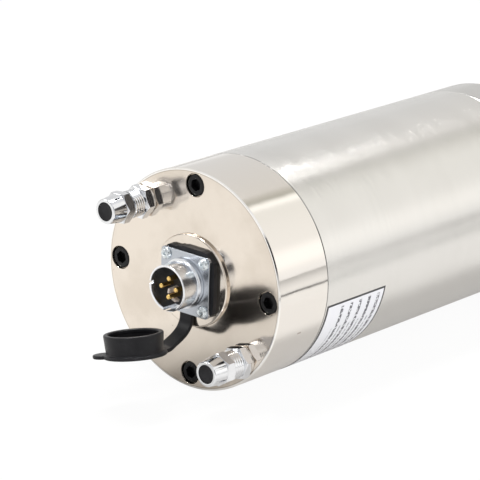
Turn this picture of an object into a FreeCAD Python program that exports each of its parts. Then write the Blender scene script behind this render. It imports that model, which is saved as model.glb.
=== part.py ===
import FreeCAD, Part
import math
import os

from FreeCAD import Vector

# Water-cooled motor spindle with a spring collet, all sizes in millimetres.
# The spindle lies along X. The origin is on its axis, at the mouth of the collet,
# +X points out of the nose and +Z is up.

os.makedirs("parts", exist_ok=True)

# Fits and gaps
seat_gap = 0.01
thread_gap = 0.05
slide_gap = 0.05
running_gap = 0.4
soft_gap = 0.3
air_gap = 0.35

# Housing
housing_d = 100.0
housing_length = 212.0
rear_cover_length = 32.2
front_cover_length = 22.0
tube_wall = 3.0
joint_chamfer = 0.3
rim_chamfer = 0.5

# Screws that hold the covers
cover_screw_d = 6.0
cover_head_d = 10.0
cover_head_h = 6.0
cover_head_key = 5.0
cover_head_recess = 6.4
cover_head_room = 0.35
cover_screw_inset = 6.9
rear_screw_length = 35.0
front_screw_length = 25.0
cover_tap_depth = 12.0
cover_screw_count = 4

# Rear cover
rear_wall = 8.2
rear_cavity_wall = 16.0
pad_r = 21.0
pad_h = 1.5
pad_round = 0.7
register_depth = 2.0
register_wall = 12.1

# Water jacket
jacket_end = 20.0
channel_width = 8.0
channel_rib = 4.0
channel_depth = 2.2
channel_link_width = 9.0
port_inset = 8.0
port_bore_r = 1.9
port_angle = 45.0
o_ring_section = 2.3
o_ring_inset = 15.5
port_seal_section = 1.0
port_seal_r = 3.2

# Stator and rotor
stator_wall = 15.0
stator_bore_r = 20.0
stator_end_room = 7.0
slot_count = 24
slot_mouth = 1.6
slot_mouth_depth = 1.3
stator_yoke = 6.0
slot_inner_width = 2.8
slot_outer_width = 4.4
slot_paper = 0.25
winding_overhang = 14.0
winding_inner_gap = 1.6
winding_outer_gap = 1.2
winding_roundness = 0.37
rotor_overlap = 2.0
rotor_bar_count = 20
rotor_bar_r = 2.0
rotor_bar_inset = 3.0
rotor_ring_width = 5.0

# Bearings: front pair 25 x 47 x 12, rear pair 17 x 35 x 10
front_bore_r = 12.5
front_outer_r = 23.5
front_width = 12.0
front_race_wall = 2.325
front_balls = 12
rear_bore_r = 8.5
rear_outer_r = 17.5
rear_width = 10.0
rear_race_wall = 2.12
rear_balls = 11
ball_gap = 0.03
ring_round = 0.6
spacer_width = 6.0

# Front bearing seat and its cap
front_hub_r = 30.0
front_floor = 4.0
front_floor_hole_r = 20.5
cap_r = 33.0
cap_thickness = 6.0
cap_register = 2.0
cap_screw_d = 4.0
cap_head_d = 7.0
cap_head_h = 4.0
cap_screw_circle_r = 28.0
cap_screw_count = 6
cap_screw_grip = 8.0
labyrinth_r = 20.2
labyrinth_width = 1.5
labyrinth_depth = 2.2

# Rear bearing housing
rear_flange = 6.0
rear_hub_r = 22.5
rear_hub_back = 16.0
rear_floor = 3.0
wave_height = 2.5
wave_thickness = 0.5
wave_count = 3

# Shaft and lock nuts
rotor_seat_r = 11.75
front_lock_r = 19.0
front_lock_width = 8.0
rear_lock_r = 13.5
rear_lock_width = 5.0
lock_slot = 5.0
lock_slot_depth = 2.0
shaft_tail = 1.5
collar_r = 16.0
collar_length = 8.0
collar_flats = 27.0
dust_flange = 5.0
dust_flange_r = 23.0
dust_sleeve_r = 15.6

# Spring collet with 8 degree cone, and its nut M25 x 1.5
tool_r = 6.0
collet_length = 31.5
collet_face_r = 8.0
collet_head_r = 9.9
collet_head_land = 0.6
collet_groove_r = 8.9
collet_groove_width = 2.1
collet_cone_r = 10.5
collet_slits = 8
collet_slit_width = 0.8
collet_slit_stop = 4.5
cone_angle = 8.0
head_angle = 30.0
nose_thread_r = 12.5
shaft_setback = 1.5
taper_spare = 2.0
relief_r = 6.6
relief_depth = 14.0
nut_length = 19.1
nut_setback = 0.4
nut_flats = 30.0
nut_r = 17.0
nut_gap = 5.0
nut_lip = 1.3

# Hose fittings: hexagon, thread M10 x 1, cap nut with tapered nose
fitting_flats = 13.0
fitting_hex = 5.8
fitting_thread_r = 5.0
fitting_thread_end = 17.5
fitting_nipple_r = 2.45
fitting_nipple_end = 20.8
fitting_screw_in_r = 4.85
fitting_screw_in = 10.0
hose_nut_length = 12.0
upper_nut_reach = 24.7
lower_nut_reach = 23.4
hose_nut_hex = 4.4
hose_nut_flats = 12.0
hose_nut_nose_r = 5.65
hose_hole_r = 4.15
hose_hole_depth = 3.5
hose_nut_cone = 1.2
plug_flange = 0.9
plug_bore_stop = 2.2

# Connector
flange_side = 28.0
flange_round = 2.0
flange_thickness = 1.5
gasket_thickness = 2.2
gasket_side = 29.0
gasket_round = 6.0
shell_collar_r = 11.2
shell_collar = 2.2
shell_r = 10.4
shell_bore_r = 9.3
shell_length = 11.4
shell_tail = 5.5
key_width = 7.0
key_depth = 0.5
insert_depth = 7.9
pin_r = 1.15
pin_circle_r = 4.2
pin_setback = 0.8
pin_tail = 2.5
connector_screw_pitch = 21.8
connector_screw_d = 3.0
connector_head_d = 5.4
connector_head_h = 1.7
connector_screw_grip = 5.0

# Leads
lead_r = 1.3
lead_circle_r = 27.8
lead_bend_r = 4.0
lead_room = 0.4

# Dust cap on its strap
strap_width = 7.2
strap_thickness = 1.7
strap_y = 0.6
strap_drop = 7.1
strap_bend_r = 7.0
strap_run = 10.5
strap_fall = 5.7
cap_strap_run = 4.2
cap_strap_fall = 1.7
cap_strap_bend_r = 6.0
cap_centre_x = -36.3
cap_centre_y = 0.9
cap_mouth_z = -15.5
cap_tilt = 11.8
cap_lean = 4.4
cup_height = 10.2
cup_mouth_r = 13.1
cup_base_r = 12.4
cup_bore_r = 10.9
cup_floor = 2.0
brim_r = 14.0
brim_thickness = 1.8
tab_angle = 127.0
tab_reach = 18.4
tab_width = 10.0

# Places along the axis, from the mouth of the collet back to the rear face
head_length = (collet_head_r - collet_face_r) / math.tan(math.radians(head_angle))
x_groove = -(head_length + collet_head_land)
x_cone = x_groove - collet_groove_width
x_shaft_front = x_cone - shaft_setback
x_nut_front = -nut_setback
x_nut_rear = x_nut_front - nut_length
x_collar_front = x_nut_rear - nut_gap
x_collar_rear = x_collar_front - collar_length
x_cap_front = x_collar_rear - dust_flange - running_gap
x_front = x_cap_front - cap_thickness
x_tube_front = x_front - front_cover_length
x_rear = x_front - housing_length
x_tube_rear = x_rear + rear_cover_length

x_front_1 = x_front - cap_register
x_front_2 = x_front_1 - front_width - spacer_width
x_front_floor = x_front_2 - front_width
x_front_hub = x_front_floor - front_floor
x_rear_hub = x_tube_rear + register_depth - rear_hub_back
x_rear_2 = x_rear_hub + rear_floor + wave_height
x_rear_1 = x_rear_2 + rear_width
x_rear_hub_front = x_rear_1 + rear_width
x_shaft_rear = x_rear_2 - rear_lock_width - shaft_tail
x_stator = (x_front_hub + x_rear_hub_front) / 2
stator_length = x_front_hub - x_rear_hub_front - 2 * (winding_overhang + stator_end_room)

housing_r = housing_d / 2
cover_screw_circle_r = housing_r - cover_screw_inset
register_r = housing_r - register_wall
rear_cavity_r = housing_r - rear_cavity_wall
port_circle_r = housing_r - port_inset
stator_r = housing_r - stator_wall
slot_inner_r = stator_bore_r + slot_mouth_depth
slot_outer_r = stator_r - stator_yoke
winding_inner_r = stator_bore_r + winding_inner_gap
winding_outer_r = stator_r - winding_outer_gap
winding_round = winding_roundness * (winding_outer_r - winding_inner_r)
tube_bore_r = housing_r - tube_wall
jacket_r = tube_bore_r - slide_gap
rotor_r = stator_bore_r - air_gap
front_ball_d = front_outer_r - front_bore_r - 2 * front_race_wall
rear_ball_d = rear_outer_r - rear_bore_r - 2 * rear_race_wall
x_flange_rear = x_rear - pad_h - gasket_thickness
x_flange = x_flange_rear - flange_thickness
x_shell_mouth = x_flange - shell_length
x_insert = x_shell_mouth + insert_depth

# Hose nuts: their places show in how far each is screwed home
fittings = {
    "upper": {"angle": port_angle, "turn": 8.0, "nut_turn": 58.0,
              "nut_front": x_rear - upper_nut_reach},
    "lower": {"angle": port_angle + 180, "turn": 45.0, "nut_turn": 55.0,
              "nut_front": x_rear - lower_nut_reach},
}


def outline(corners, place):
    """Closed wire through the corners; a third number in a corner rounds it off."""
    edges = []
    last = None
    first = None
    for i, corner in enumerate(corners):
        here = place(corner[0], corner[1])
        if len(corner) == 3:
            back = place(*corners[i - 1][:2]) - here
            ahead = place(*corners[(i + 1) % len(corners)][:2]) - here
            back.normalize()
            ahead.normalize()
            half = back.getAngle(ahead) / 2
            middle = (back + ahead).normalize()
            start = here + back * (corner[2] / math.tan(half))
            end = here + ahead * (corner[2] / math.tan(half))
            top = here + middle * (corner[2] / math.sin(half) - corner[2])
        else:
            start = end = here
        if last is not None and last.distanceToPoint(start) > 1e-6:
            edges.append(Part.LineSegment(last, start).toShape())
        if first is None:
            first = start
        if len(corner) == 3:
            edges.append(Part.Arc(start, top, end).toShape())
        last = end
    if last.distanceToPoint(first) > 1e-6:
        edges.append(Part.LineSegment(last, first).toShape())
    return Part.Wire(edges)


def turned(corners):
    """Solid of revolution about the spindle's axis, from corners given as (x, radius)."""
    wire = outline(corners, lambda x, r: Vector(x, 0, r))
    return Part.Face(wire).revolve(Vector(0, 0, 0), Vector(1, 0, 0), 360)


def slab(corners, x_low, x_high):
    """Plate across the axis, from corners given as (y, z)."""
    wire = outline(corners, lambda y, z: Vector(x_low, y, z))
    return Part.Face(wire).extrude(Vector(x_high - x_low, 0, 0))


def rod(x_low, x_high, radius, y=0.0, z=0.0):
    return Part.makeCylinder(radius, x_high - x_low, Vector(x_low, y, z), Vector(1, 0, 0))


def ring(x_low, x_high, inner_r, outer_r):
    return rod(x_low, x_high, outer_r).cut(rod(x_low, x_high, inner_r))


def polar(radius, angle):
    """Point across the axis, with the angle in degrees from +Y towards +Z."""
    return radius * math.cos(math.radians(angle)), radius * math.sin(math.radians(angle))


def hexagon(x_low, x_high, flats, turn=0.0, y=0.0, z=0.0):
    corners = [polar(flats / math.sqrt(3), turn + 60 * k) for k in range(6)]
    return slab([(y + a, z + b) for a, b in corners], x_low, x_high)


def square(side, corner_round, x_low, x_high):
    half = side / 2
    corners = [(half, half), (-half, half), (-half, -half), (half, -half)]
    return slab([(a, b, corner_round) for a, b in corners], x_low, x_high)


def round_about(shape, count, start=0.0):
    """Copies of a shape, evenly turned about the axis."""
    copies = []
    for k in range(count):
        copy = shape.copy()
        copy.rotate(Vector(0, 0, 0), Vector(1, 0, 0), start + 360 * k / count)
        copies.append(copy)
    return copies


def socket_screw(x_head, direction, diameter, head_d, head_h, key, length):
    """Cap screw on the axis. Its head's outer face is at x_head and it points along direction."""
    head = turned([(0, 0), (0, head_d / 2, head_h / 12), (head_h, head_d / 2), (head_h, 0)])
    shank = rod(head_h, head_h + length, diameter / 2)
    screw = head.fuse(shank).cut(hexagon(0, head_h / 2, key))
    if direction < 0:
        screw.rotate(Vector(0, 0, 0), Vector(0, 0, 1), 180)
    screw.translate(Vector(x_head, 0, 0))
    return screw


def cover_screw_seats(x_face, direction, length):
    """Holes and counterbores for the cover screws, cut from x_face along direction."""
    far = x_face + direction * length
    sink = x_face + direction * cover_head_recess
    hole = rod(min(x_face, far), max(x_face, far), cover_screw_d / 2 + slide_gap)
    bore = rod(min(x_face, sink), max(x_face, sink), cover_head_d / 2 + cover_head_room)
    tool = hole.fuse(bore)
    tool.translate(Vector(0, cover_screw_circle_r, 0))
    return round_about(tool, cover_screw_count)


def cover_screws(x_face, direction, length):
    sunk = cover_head_recess - cover_head_h
    screw = socket_screw(x_face + direction * sunk, direction, cover_screw_d,
                         cover_head_d, cover_head_h, cover_head_key, length)
    screw.translate(Vector(0, cover_screw_circle_r, 0))
    return Part.Compound(round_about(screw, cover_screw_count))


def connector_corners():
    half = connector_screw_pitch / 2
    return [(half, half), (-half, half), (-half, -half), (half, -half)]


def rear_cover():
    """Cup that closes the tail: screws and water ports run in its thick wall."""
    body = turned([
        (x_rear - pad_h, shell_bore_r),
        (x_rear - pad_h, pad_r, pad_round),
        (x_rear, pad_r),
        (x_rear, housing_r - rim_chamfer),
        (x_rear + rim_chamfer, housing_r),
        (x_tube_rear - joint_chamfer, housing_r),
        (x_tube_rear, housing_r - joint_chamfer),
        (x_tube_rear, register_r),
        (x_tube_rear + register_depth, register_r),
        (x_tube_rear + register_depth, rear_cavity_r),
        (x_rear + rear_wall, rear_cavity_r, 3.0),
        (x_rear + rear_wall, shell_bore_r),
    ])
    cuts = cover_screw_seats(x_rear, 1, rear_cover_length)
    cuts.append(rod(x_rear - pad_h, x_rear + rear_wall, shell_r + slide_gap))
    for a, b in connector_corners():
        x_end = x_rear - pad_h + connector_screw_grip + 1
        cuts.append(rod(x_rear - pad_h, x_end, connector_screw_d / 2 + slide_gap, a, b))
    for fitting in fittings.values():
        y, z = polar(port_circle_r, fitting["angle"])
        seal_outer = port_seal_r + port_seal_section / 2 + slide_gap
        seal_inner = port_seal_r - port_seal_section / 2 - slide_gap
        groove = rod(x_tube_rear - port_seal_section, x_tube_rear, seal_outer, y, z)
        groove = groove.cut(rod(x_tube_rear - port_seal_section, x_tube_rear, seal_inner, y, z))
        cuts.append(rod(x_rear, x_rear + fitting_screw_in + 1, fitting_screw_in_r + thread_gap, y, z))
        cuts.append(rod(x_rear, x_tube_rear, port_bore_r, y, z))
        cuts.append(groove)
    return body.cut(cuts)


def body_tube():
    return turned([
        (x_tube_rear, tube_bore_r),
        (x_tube_rear, housing_r - joint_chamfer),
        (x_tube_rear + joint_chamfer, housing_r),
        (x_tube_front - joint_chamfer, housing_r),
        (x_tube_front, housing_r - joint_chamfer),
        (x_tube_front, tube_bore_r),
    ])


def channel_starts():
    """Rear edge of each ring channel of the water jacket."""
    room = x_tube_front - x_tube_rear - 2 * jacket_end
    count = int((room + channel_rib) / (channel_width + channel_rib))
    pitch = (room + channel_rib) / count
    return [x_tube_rear + jacket_end + k * pitch for k in range(count)], pitch - channel_rib


def water_jacket():
    """Aluminium sleeve: ring channels linked in turn on opposite sides."""
    register_bore = register_r + slide_gap
    rear_step = x_tube_rear + register_depth + rear_flange
    front_step = x_tube_front - register_depth
    body = turned([
        (x_tube_rear, register_bore), (x_tube_rear, jacket_r),
        (x_tube_front, jacket_r), (x_tube_front, register_bore),
        (front_step, register_bore), (front_step, stator_r + seat_gap),
        (rear_step, stator_r + seat_gap), (rear_step, register_bore),
    ])
    bottom_r = jacket_r - channel_depth
    starts, width = channel_starts()
    cuts = []
    for k, start in enumerate(starts):
        cuts.append(ring(start, start + width, bottom_r, jacket_r + 1))
        if k > 0:
            side = Part.makeBox(channel_rib + 2, channel_link_width, channel_depth + 1,
                                Vector(start - channel_rib - 1, -channel_link_width / 2, bottom_r))
            cuts += round_about(side, 1, 0 if k % 2 == 0 else 180)
    section = o_ring_section + 2 * slide_gap
    for middle in (x_tube_rear + o_ring_inset, x_tube_front - o_ring_inset):
        cuts.append(ring(middle - section / 2, middle + section / 2,
                         tube_bore_r - o_ring_section, jacket_r + 1))
    reach = {"upper": starts[0] + width / 2, "lower": starts[-1] + width / 2}
    for name, fitting in fittings.items():
        y, z = polar(port_circle_r, fitting["angle"])
        cuts.append(rod(x_tube_rear, reach[name] + port_bore_r / 2, port_bore_r, y, z))
        riser = Part.makeCylinder(port_bore_r, jacket_r - port_circle_r + 1,
                                  Vector(reach[name], port_circle_r, 0), Vector(0, 1, 0))
        cuts += round_about(riser, 1, fitting["angle"])
    tap_r = cover_screw_d / 2 + thread_gap
    for x_low in (x_tube_rear, x_tube_front - cover_tap_depth):
        tap = rod(x_low, x_low + cover_tap_depth, tap_r, cover_screw_circle_r, 0)
        cuts += round_about(tap, cover_screw_count)
    return body.cut(cuts)


def o_rings():
    rings = []
    centre_r = tube_bore_r - o_ring_section / 2 - seat_gap
    for middle in (x_tube_rear + o_ring_inset, x_tube_front - o_ring_inset):
        rings.append(Part.makeTorus(centre_r, o_ring_section / 2 - seat_gap,
                                    Vector(middle, 0, 0), Vector(1, 0, 0)))
    return Part.Compound(rings)


def port_seals():
    seals = []
    for fitting in fittings.values():
        y, z = polar(port_circle_r, fitting["angle"])
        seals.append(Part.makeTorus(port_seal_r, port_seal_section / 2 - seat_gap,
                                    Vector(x_tube_rear - port_seal_section / 2, y, z), Vector(1, 0, 0)))
    return Part.Compound(seals)


def slot_section(shrink, mouth, x_low, x_high):
    """One winding slot of the stator, on the +Z side, made smaller all round by shrink."""
    inner = slot_inner_width / 2 - shrink
    outer = slot_outer_width / 2 - shrink
    low = slot_inner_r + shrink
    high = slot_outer_r - shrink
    round_in = inner / 3
    round_out = min(outer * 0.8, (high - low) / 2)
    body = slab([(-inner, low, round_in), (inner, low, round_in),
                 (outer, high, round_out), (-outer, high, round_out)], x_low, x_high)
    if mouth:
        neck = Part.makeBox(x_high - x_low, slot_mouth, slot_inner_r - stator_bore_r + 2,
                            Vector(x_low, -slot_mouth / 2, stator_bore_r - 1))
        body = body.fuse(neck)
    return body


def stator_core():
    low = x_stator - stator_length / 2
    high = x_stator + stator_length / 2
    body = ring(low, high, stator_bore_r, stator_r)
    return body.cut(round_about(slot_section(0, True, low, high), slot_count))


def stator_winding():
    """Coil sides in the slots, joined by the bundled end turns."""
    low = x_stator - stator_length / 2
    high = x_stator + stator_length / 2
    gap = 2.0
    bars = round_about(slot_section(slot_paper, False, low - gap - 1, high + gap + 1), slot_count)
    ends = []
    for near, far in ((low - gap, low - winding_overhang), (high + gap, high + winding_overhang)):
        ends.append(turned([
            (near, winding_inner_r, winding_round / 2), (near, winding_outer_r, winding_round / 2),
            (far, winding_outer_r, winding_round), (far, winding_inner_r, winding_round),
        ]))
    return ends[0].fuse(ends[1:] + bars)


def rotor_core():
    half = stator_length / 2 + rotor_overlap
    body = ring(x_stator - half, x_stator + half, rotor_seat_r + seat_gap, rotor_r)
    bar = rod(x_stator - half, x_stator + half, rotor_bar_r + seat_gap, rotor_r - rotor_bar_inset, 0)
    return body.cut(round_about(bar, rotor_bar_count))


def rotor_cage():
    """Cast aluminium bars with a ring at each end."""
    half = stator_length / 2 + rotor_overlap
    middle_r = rotor_r - rotor_bar_inset
    bar = rod(x_stator - half - 1, x_stator + half + 1, rotor_bar_r, middle_r, 0)
    ends = []
    for side in (-1, 1):
        near = x_stator + side * half
        far = near + side * rotor_ring_width
        ends.append(turned([
            (near, middle_r - rotor_bar_r - 1), (near, middle_r + rotor_bar_r + 0.5),
            (far, middle_r + rotor_bar_r + 0.5, 1.0), (far, middle_r - rotor_bar_r - 1, 1.0),
        ]))
    return ends[0].fuse(ends[1:] + round_about(bar, rotor_bar_count))


def bearing(x_low, width, bore_r, outer_r, ball_d, count, thrust_side):
    """Angular contact bearing: outer ring, inner ring, cage and balls."""
    middle = x_low + width / 2
    pitch_r = (bore_r + outer_r) / 2
    inner_land = pitch_r - 0.35 * ball_d
    outer_land = pitch_r + 0.35 * ball_d
    groove = Part.makeTorus(pitch_r, ball_d / 2 + ball_gap, Vector(middle, 0, 0), Vector(1, 0, 0))
    x_high = x_low + width
    outer = turned([(x_low, outer_land), (x_low, outer_r - seat_gap, ring_round),
                    (x_high, outer_r - seat_gap, ring_round), (x_high, outer_land)])
    open_low = middle if thrust_side < 0 else x_low
    relief = rod(open_low, open_low + width / 2, pitch_r + 0.46 * ball_d)
    inner = turned([(x_low, bore_r + seat_gap, ring_round), (x_low, inner_land),
                    (x_high, inner_land), (x_high, bore_r + seat_gap, ring_round)])
    cage = ring(middle - 0.36 * width, middle + 0.36 * width,
                pitch_r - 0.08 * ball_d, pitch_r + 0.27 * ball_d)
    pocket = Part.makeCylinder(ball_d / 2 + 4 * ball_gap, outer_r,
                               Vector(middle, 0, 0), Vector(0, 1, 0))
    ball = Part.makeSphere(ball_d / 2, Vector(middle, pitch_r, 0))
    return {
        "outer": outer.cut([groove, relief]),
        "inner": inner.cut(groove),
        "cage": cage.cut(round_about(pocket, count)),
        "balls": Part.Compound(round_about(ball, count)),
    }


def lock_nut(x_low, width, bore_r, outer_r):
    """Round shaft nut with four spanner slots."""
    body = turned([(x_low, bore_r), (x_low, outer_r, 0.5),
                   (x_low + width, outer_r, 0.5), (x_low + width, bore_r)])
    slot = Part.makeBox(width, lock_slot_depth + 1, lock_slot,
                        Vector(x_low, outer_r - lock_slot_depth, -lock_slot / 2))
    return body.cut(round_about(slot, 4))


def wave_spring():
    """Wave washer that loads the rear pair: crests touch the ring, troughs the floor."""
    inner_r = rear_outer_r - 2.6
    outer_r = rear_outer_r - 0.3
    swing = (wave_height - wave_thickness) / 2
    base = x_rear_hub + rear_floor + swing
    steps = wave_count * 8

    def loop(radius, lift):
        points = []
        for k in range(steps):
            angle = 360 * k / steps
            y, z = polar(radius, angle)
            rise = swing * math.sin(math.radians(wave_count * angle))
            points.append(Vector(base + lift + rise, y, z))
        curve = Part.BSplineCurve()
        curve.interpolate(Points=points, PeriodicFlag=True)
        return curve.toShape()

    low_in, low_out = loop(inner_r, 0), loop(outer_r, 0)
    high_in, high_out = loop(inner_r, wave_thickness), loop(outer_r, wave_thickness)
    pairs = [(low_in, low_out), (high_in, high_out), (low_in, high_in), (low_out, high_out)]
    faces = [Part.makeRuledSurface(a, b) for a, b in pairs]
    shell = Part.Shell(faces)
    shell.sewShape()
    return Part.Solid(shell)


def rear_bearing_housing():
    """Flanged seat of the rear bearings, held between jacket and rear cover."""
    flange_low = x_tube_rear + register_depth
    flange_high = flange_low + rear_flange
    lock_hole = rear_lock_r + 1.0
    body = turned([
        (x_rear_hub, lock_hole), (x_rear_hub, rear_hub_r, 1.0),
        (flange_low, rear_hub_r, 2.0), (flange_low, register_r),
        (flange_high, register_r), (flange_high, rear_hub_r, 2.0),
        (x_rear_hub_front, rear_hub_r, 1.0), (x_rear_hub_front, rear_outer_r),
        (x_rear_hub + rear_floor, rear_outer_r), (x_rear_hub + rear_floor, lock_hole),
    ])
    hole = rod(flange_low, flange_high, lead_r + lead_room, lead_circle_r, 0)
    return body.cut(round_about(hole, 4))


def front_cover():
    """Nose flange: carries the front bearings in a hub that reaches into the body."""
    body = turned([
        (x_front, front_outer_r),
        (x_front, housing_r - rim_chamfer),
        (x_front - rim_chamfer, housing_r),
        (x_tube_front + joint_chamfer, housing_r),
        (x_tube_front, housing_r - joint_chamfer),
        (x_tube_front, register_r),
        (x_tube_front - register_depth, register_r),
        (x_tube_front - register_depth, front_hub_r, 3.0),
        (x_front_hub, front_hub_r, 1.0),
        (x_front_hub, front_floor_hole_r),
        (x_front_floor, front_floor_hole_r),
        (x_front_floor, front_outer_r),
    ])
    cuts = cover_screw_seats(x_front, -1, front_cover_length)
    tap = rod(x_front - cap_screw_grip - 1, x_front, cap_screw_d / 2 + thread_gap,
              cap_screw_circle_r, 0)
    return body.cut(cuts + round_about(tap, cap_screw_count))


def bearing_cap():
    """Plate that clamps the front bearings' outer rings, with a labyrinth groove."""
    groove_low_r = labyrinth_r - running_gap
    groove_high_r = labyrinth_r + labyrinth_width + running_gap
    land_r = front_outer_r - 3.0
    body = turned([
        (x_front - cap_register, land_r), (x_front - cap_register, front_outer_r - slide_gap),
        (x_front, front_outer_r - slide_gap), (x_front, cap_r),
        (x_cap_front, cap_r, 1.2),
        (x_cap_front, groove_high_r),
        (x_cap_front - labyrinth_depth, groove_high_r),
        (x_cap_front - labyrinth_depth, groove_low_r),
        (x_cap_front, groove_low_r),
        (x_cap_front, dust_sleeve_r + running_gap),
        (x_front, dust_sleeve_r + running_gap), (x_front, land_r),
    ])
    hole = rod(x_front, x_cap_front, cap_screw_d / 2 + slide_gap)
    sink = rod(x_cap_front - cap_head_h, x_cap_front, cap_head_d / 2 + 0.2)
    tool = hole.fuse(sink)
    tool.translate(Vector(0, cap_screw_circle_r, 0))
    return body.cut(round_about(tool, cap_screw_count))


def bearing_cap_screws():
    length = cap_thickness - cap_head_h + cap_screw_grip
    screw = socket_screw(x_cap_front, -1, cap_screw_d, cap_head_d, cap_head_h, 3.0, length)
    screw.translate(Vector(0, cap_screw_circle_r, 0))
    return Part.Compound(round_about(screw, cap_screw_count))


def cone_r(x):
    """Radius of the collet's long cone at x."""
    return collet_cone_r + (x - x_cone) * math.tan(math.radians(cone_angle))


def shaft():
    """Stepped shaft: collet taper and thread at the nose, rotor in the middle."""
    x_taper_end = -collet_length - taper_spare
    x_relief_end = x_taper_end - relief_depth
    x_lock_end = x_front_floor - front_lock_width
    x_rotor_rear = x_stator - stator_length / 2 - rotor_overlap - rotor_ring_width - 2
    mouth_r = cone_r(x_shaft_front) + seat_gap + thread_gap
    taper_end_r = cone_r(x_taper_end) + seat_gap + thread_gap
    body = turned([
        (x_shaft_front, mouth_r),
        (x_shaft_front, nose_thread_r - 0.8),
        (x_shaft_front - 0.8, nose_thread_r),
        (x_collar_front, nose_thread_r),
        (x_collar_front, collar_r, 0.5),
        (x_collar_rear, collar_r, 0.5),
        (x_collar_rear, front_bore_r),
        (x_front_floor, front_bore_r),
        (x_front_floor, front_bore_r - 0.3),
        (x_lock_end, front_bore_r - 0.3),
        (x_lock_end, rotor_seat_r),
        (x_rotor_rear, rotor_seat_r),
        (x_rotor_rear - 2, rear_bore_r + 1.5),
        (x_rear_hub_front, rear_bore_r + 1.5),
        (x_rear_hub_front, rear_bore_r),
        (x_rear_2, rear_bore_r),
        (x_rear_2, rear_bore_r - 0.3),
        (x_shaft_rear + 0.8, rear_bore_r - 0.3),
        (x_shaft_rear, rear_bore_r - 1.1),
        (x_shaft_rear, 0),
        (x_relief_end - relief_r / 2, 0),
        (x_relief_end, relief_r),
        (x_taper_end, relief_r),
        (x_taper_end, taper_end_r),
    ])
    flats = []
    for side in (-1, 1):
        low = collar_flats / 2 if side > 0 else -collar_flats / 2 - collar_r
        flats.append(Part.makeBox(collar_length, collar_r, 2 * collar_r,
                                  Vector(x_collar_rear, low, -collar_r)))
    return body.cut(flats)


def dust_ring():
    """Ring that turns with the shaft and keeps dust out of the front bearings."""
    lip_low = labyrinth_r
    lip_high = labyrinth_r + labyrinth_width
    back = x_collar_rear - dust_flange
    tip = x_cap_front - labyrinth_depth + running_gap
    return turned([
        (x_front_1, front_bore_r + seat_gap), (x_front_1, dust_sleeve_r),
        (back, dust_sleeve_r), (back, lip_low), (tip, lip_low), (tip, lip_high),
        (back, lip_high), (back, dust_flange_r, 0.8),
        (x_collar_rear, dust_flange_r - 2, 0.8), (x_collar_rear, front_bore_r + seat_gap),
    ])


def collet():
    """Spring collet, slit from both ends in turn."""
    body = turned([
        (0, tool_r), (0, collet_face_r), (-head_length, collet_head_r),
        (x_groove, collet_head_r), (x_groove, collet_groove_r),
        (x_cone, collet_groove_r), (x_cone, collet_cone_r),
        (-collet_length, cone_r(-collet_length)), (-collet_length, tool_r),
    ])
    long = collet_length - collet_slit_stop
    front_slit = Part.makeBox(long, collet_slit_width, collet_cone_r + 1,
                              Vector(-long, -collet_slit_width / 2, 0))
    rear_slit = Part.makeBox(long, collet_slit_width, collet_cone_r + 1,
                             Vector(-collet_length, -collet_slit_width / 2, 0))
    cuts = round_about(front_slit, collet_slits)
    cuts += round_about(rear_slit, collet_slits, 180 / collet_slits)
    return body.cut(cuts)


def collet_nut():
    """Hexagonal clamping nut: its cone closes the collet, its lip pulls it out."""
    room = thread_gap + seat_gap
    lip_front = x_groove - (collet_groove_width - nut_lip) / 2
    lip_rear = lip_front - nut_lip
    thread_end = x_shaft_front + 0.6
    mouth_r = collet_face_r + nut_setback * math.tan(math.radians(head_angle)) + room
    bore = turned([
        (x_nut_rear, 0), (x_nut_rear, nose_thread_r + thread_gap),
        (thread_end, nose_thread_r + thread_gap), (thread_end, collet_cone_r + 0.5),
        (lip_rear, collet_cone_r + 0.5), (lip_rear, collet_groove_r + 0.35),
        (lip_front, collet_groove_r + 0.35), (lip_front, collet_head_r + room + 0.1),
        (-head_length, collet_head_r + room), (x_nut_front, mouth_r), (x_nut_front, 0),
    ])
    blank = hexagon(x_nut_rear, x_nut_front, nut_flats)
    lathe = turned([
        (x_nut_rear, 0), (x_nut_rear, nut_r - 1), (x_nut_rear + 1, nut_r),
        (x_nut_front - 3, nut_r), (x_nut_front, nut_r - 4.5, 0.6), (x_nut_front, 0),
    ])
    return blank.common(lathe).cut(bore)


def hose_fitting(fitting):
    """Body of a hose fitting: screwed into the cover, hexagon, thread and nipple."""
    y, z = polar(port_circle_r, fitting["angle"])
    hexagonal = hexagon(x_rear - fitting_hex, x_rear, fitting_flats, fitting["turn"])
    chamfer = turned([
        (x_rear - fitting_hex, 0), (x_rear - fitting_hex, fitting_flats / 2),
        (x_rear - fitting_hex + 1, fitting_flats / 2 + 1.2),
        (x_rear, fitting_flats / 2 + 1.2), (x_rear, 0),
    ])
    stem = turned([
        (x_rear + fitting_screw_in, port_bore_r), (x_rear + fitting_screw_in, fitting_screw_in_r),
        (x_rear, fitting_screw_in_r), (x_rear - fitting_hex, fitting_thread_r - 0.5),
        (x_rear - fitting_hex - 0.8, fitting_thread_r - 0.5),
        (x_rear - fitting_hex - 1.0, fitting_thread_r),
        (x_rear - fitting_thread_end + 0.5, fitting_thread_r),
        (x_rear - fitting_thread_end, fitting_thread_r - 0.5),
        (x_rear - fitting_thread_end, fitting_nipple_r),
        (x_rear - fitting_nipple_end, fitting_nipple_r - 0.4),
        (x_rear - fitting_nipple_end, fitting_nipple_r - 1),
        (x_rear - fitting_hex, fitting_nipple_r - 1),
    ])
    bore = rod(x_rear - fitting_nipple_end, x_rear + fitting_screw_in, fitting_nipple_r - 1)
    body = hexagonal.common(chamfer).fuse(stem).cut(bore)
    body.translate(Vector(0, y, z))
    return body


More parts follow.
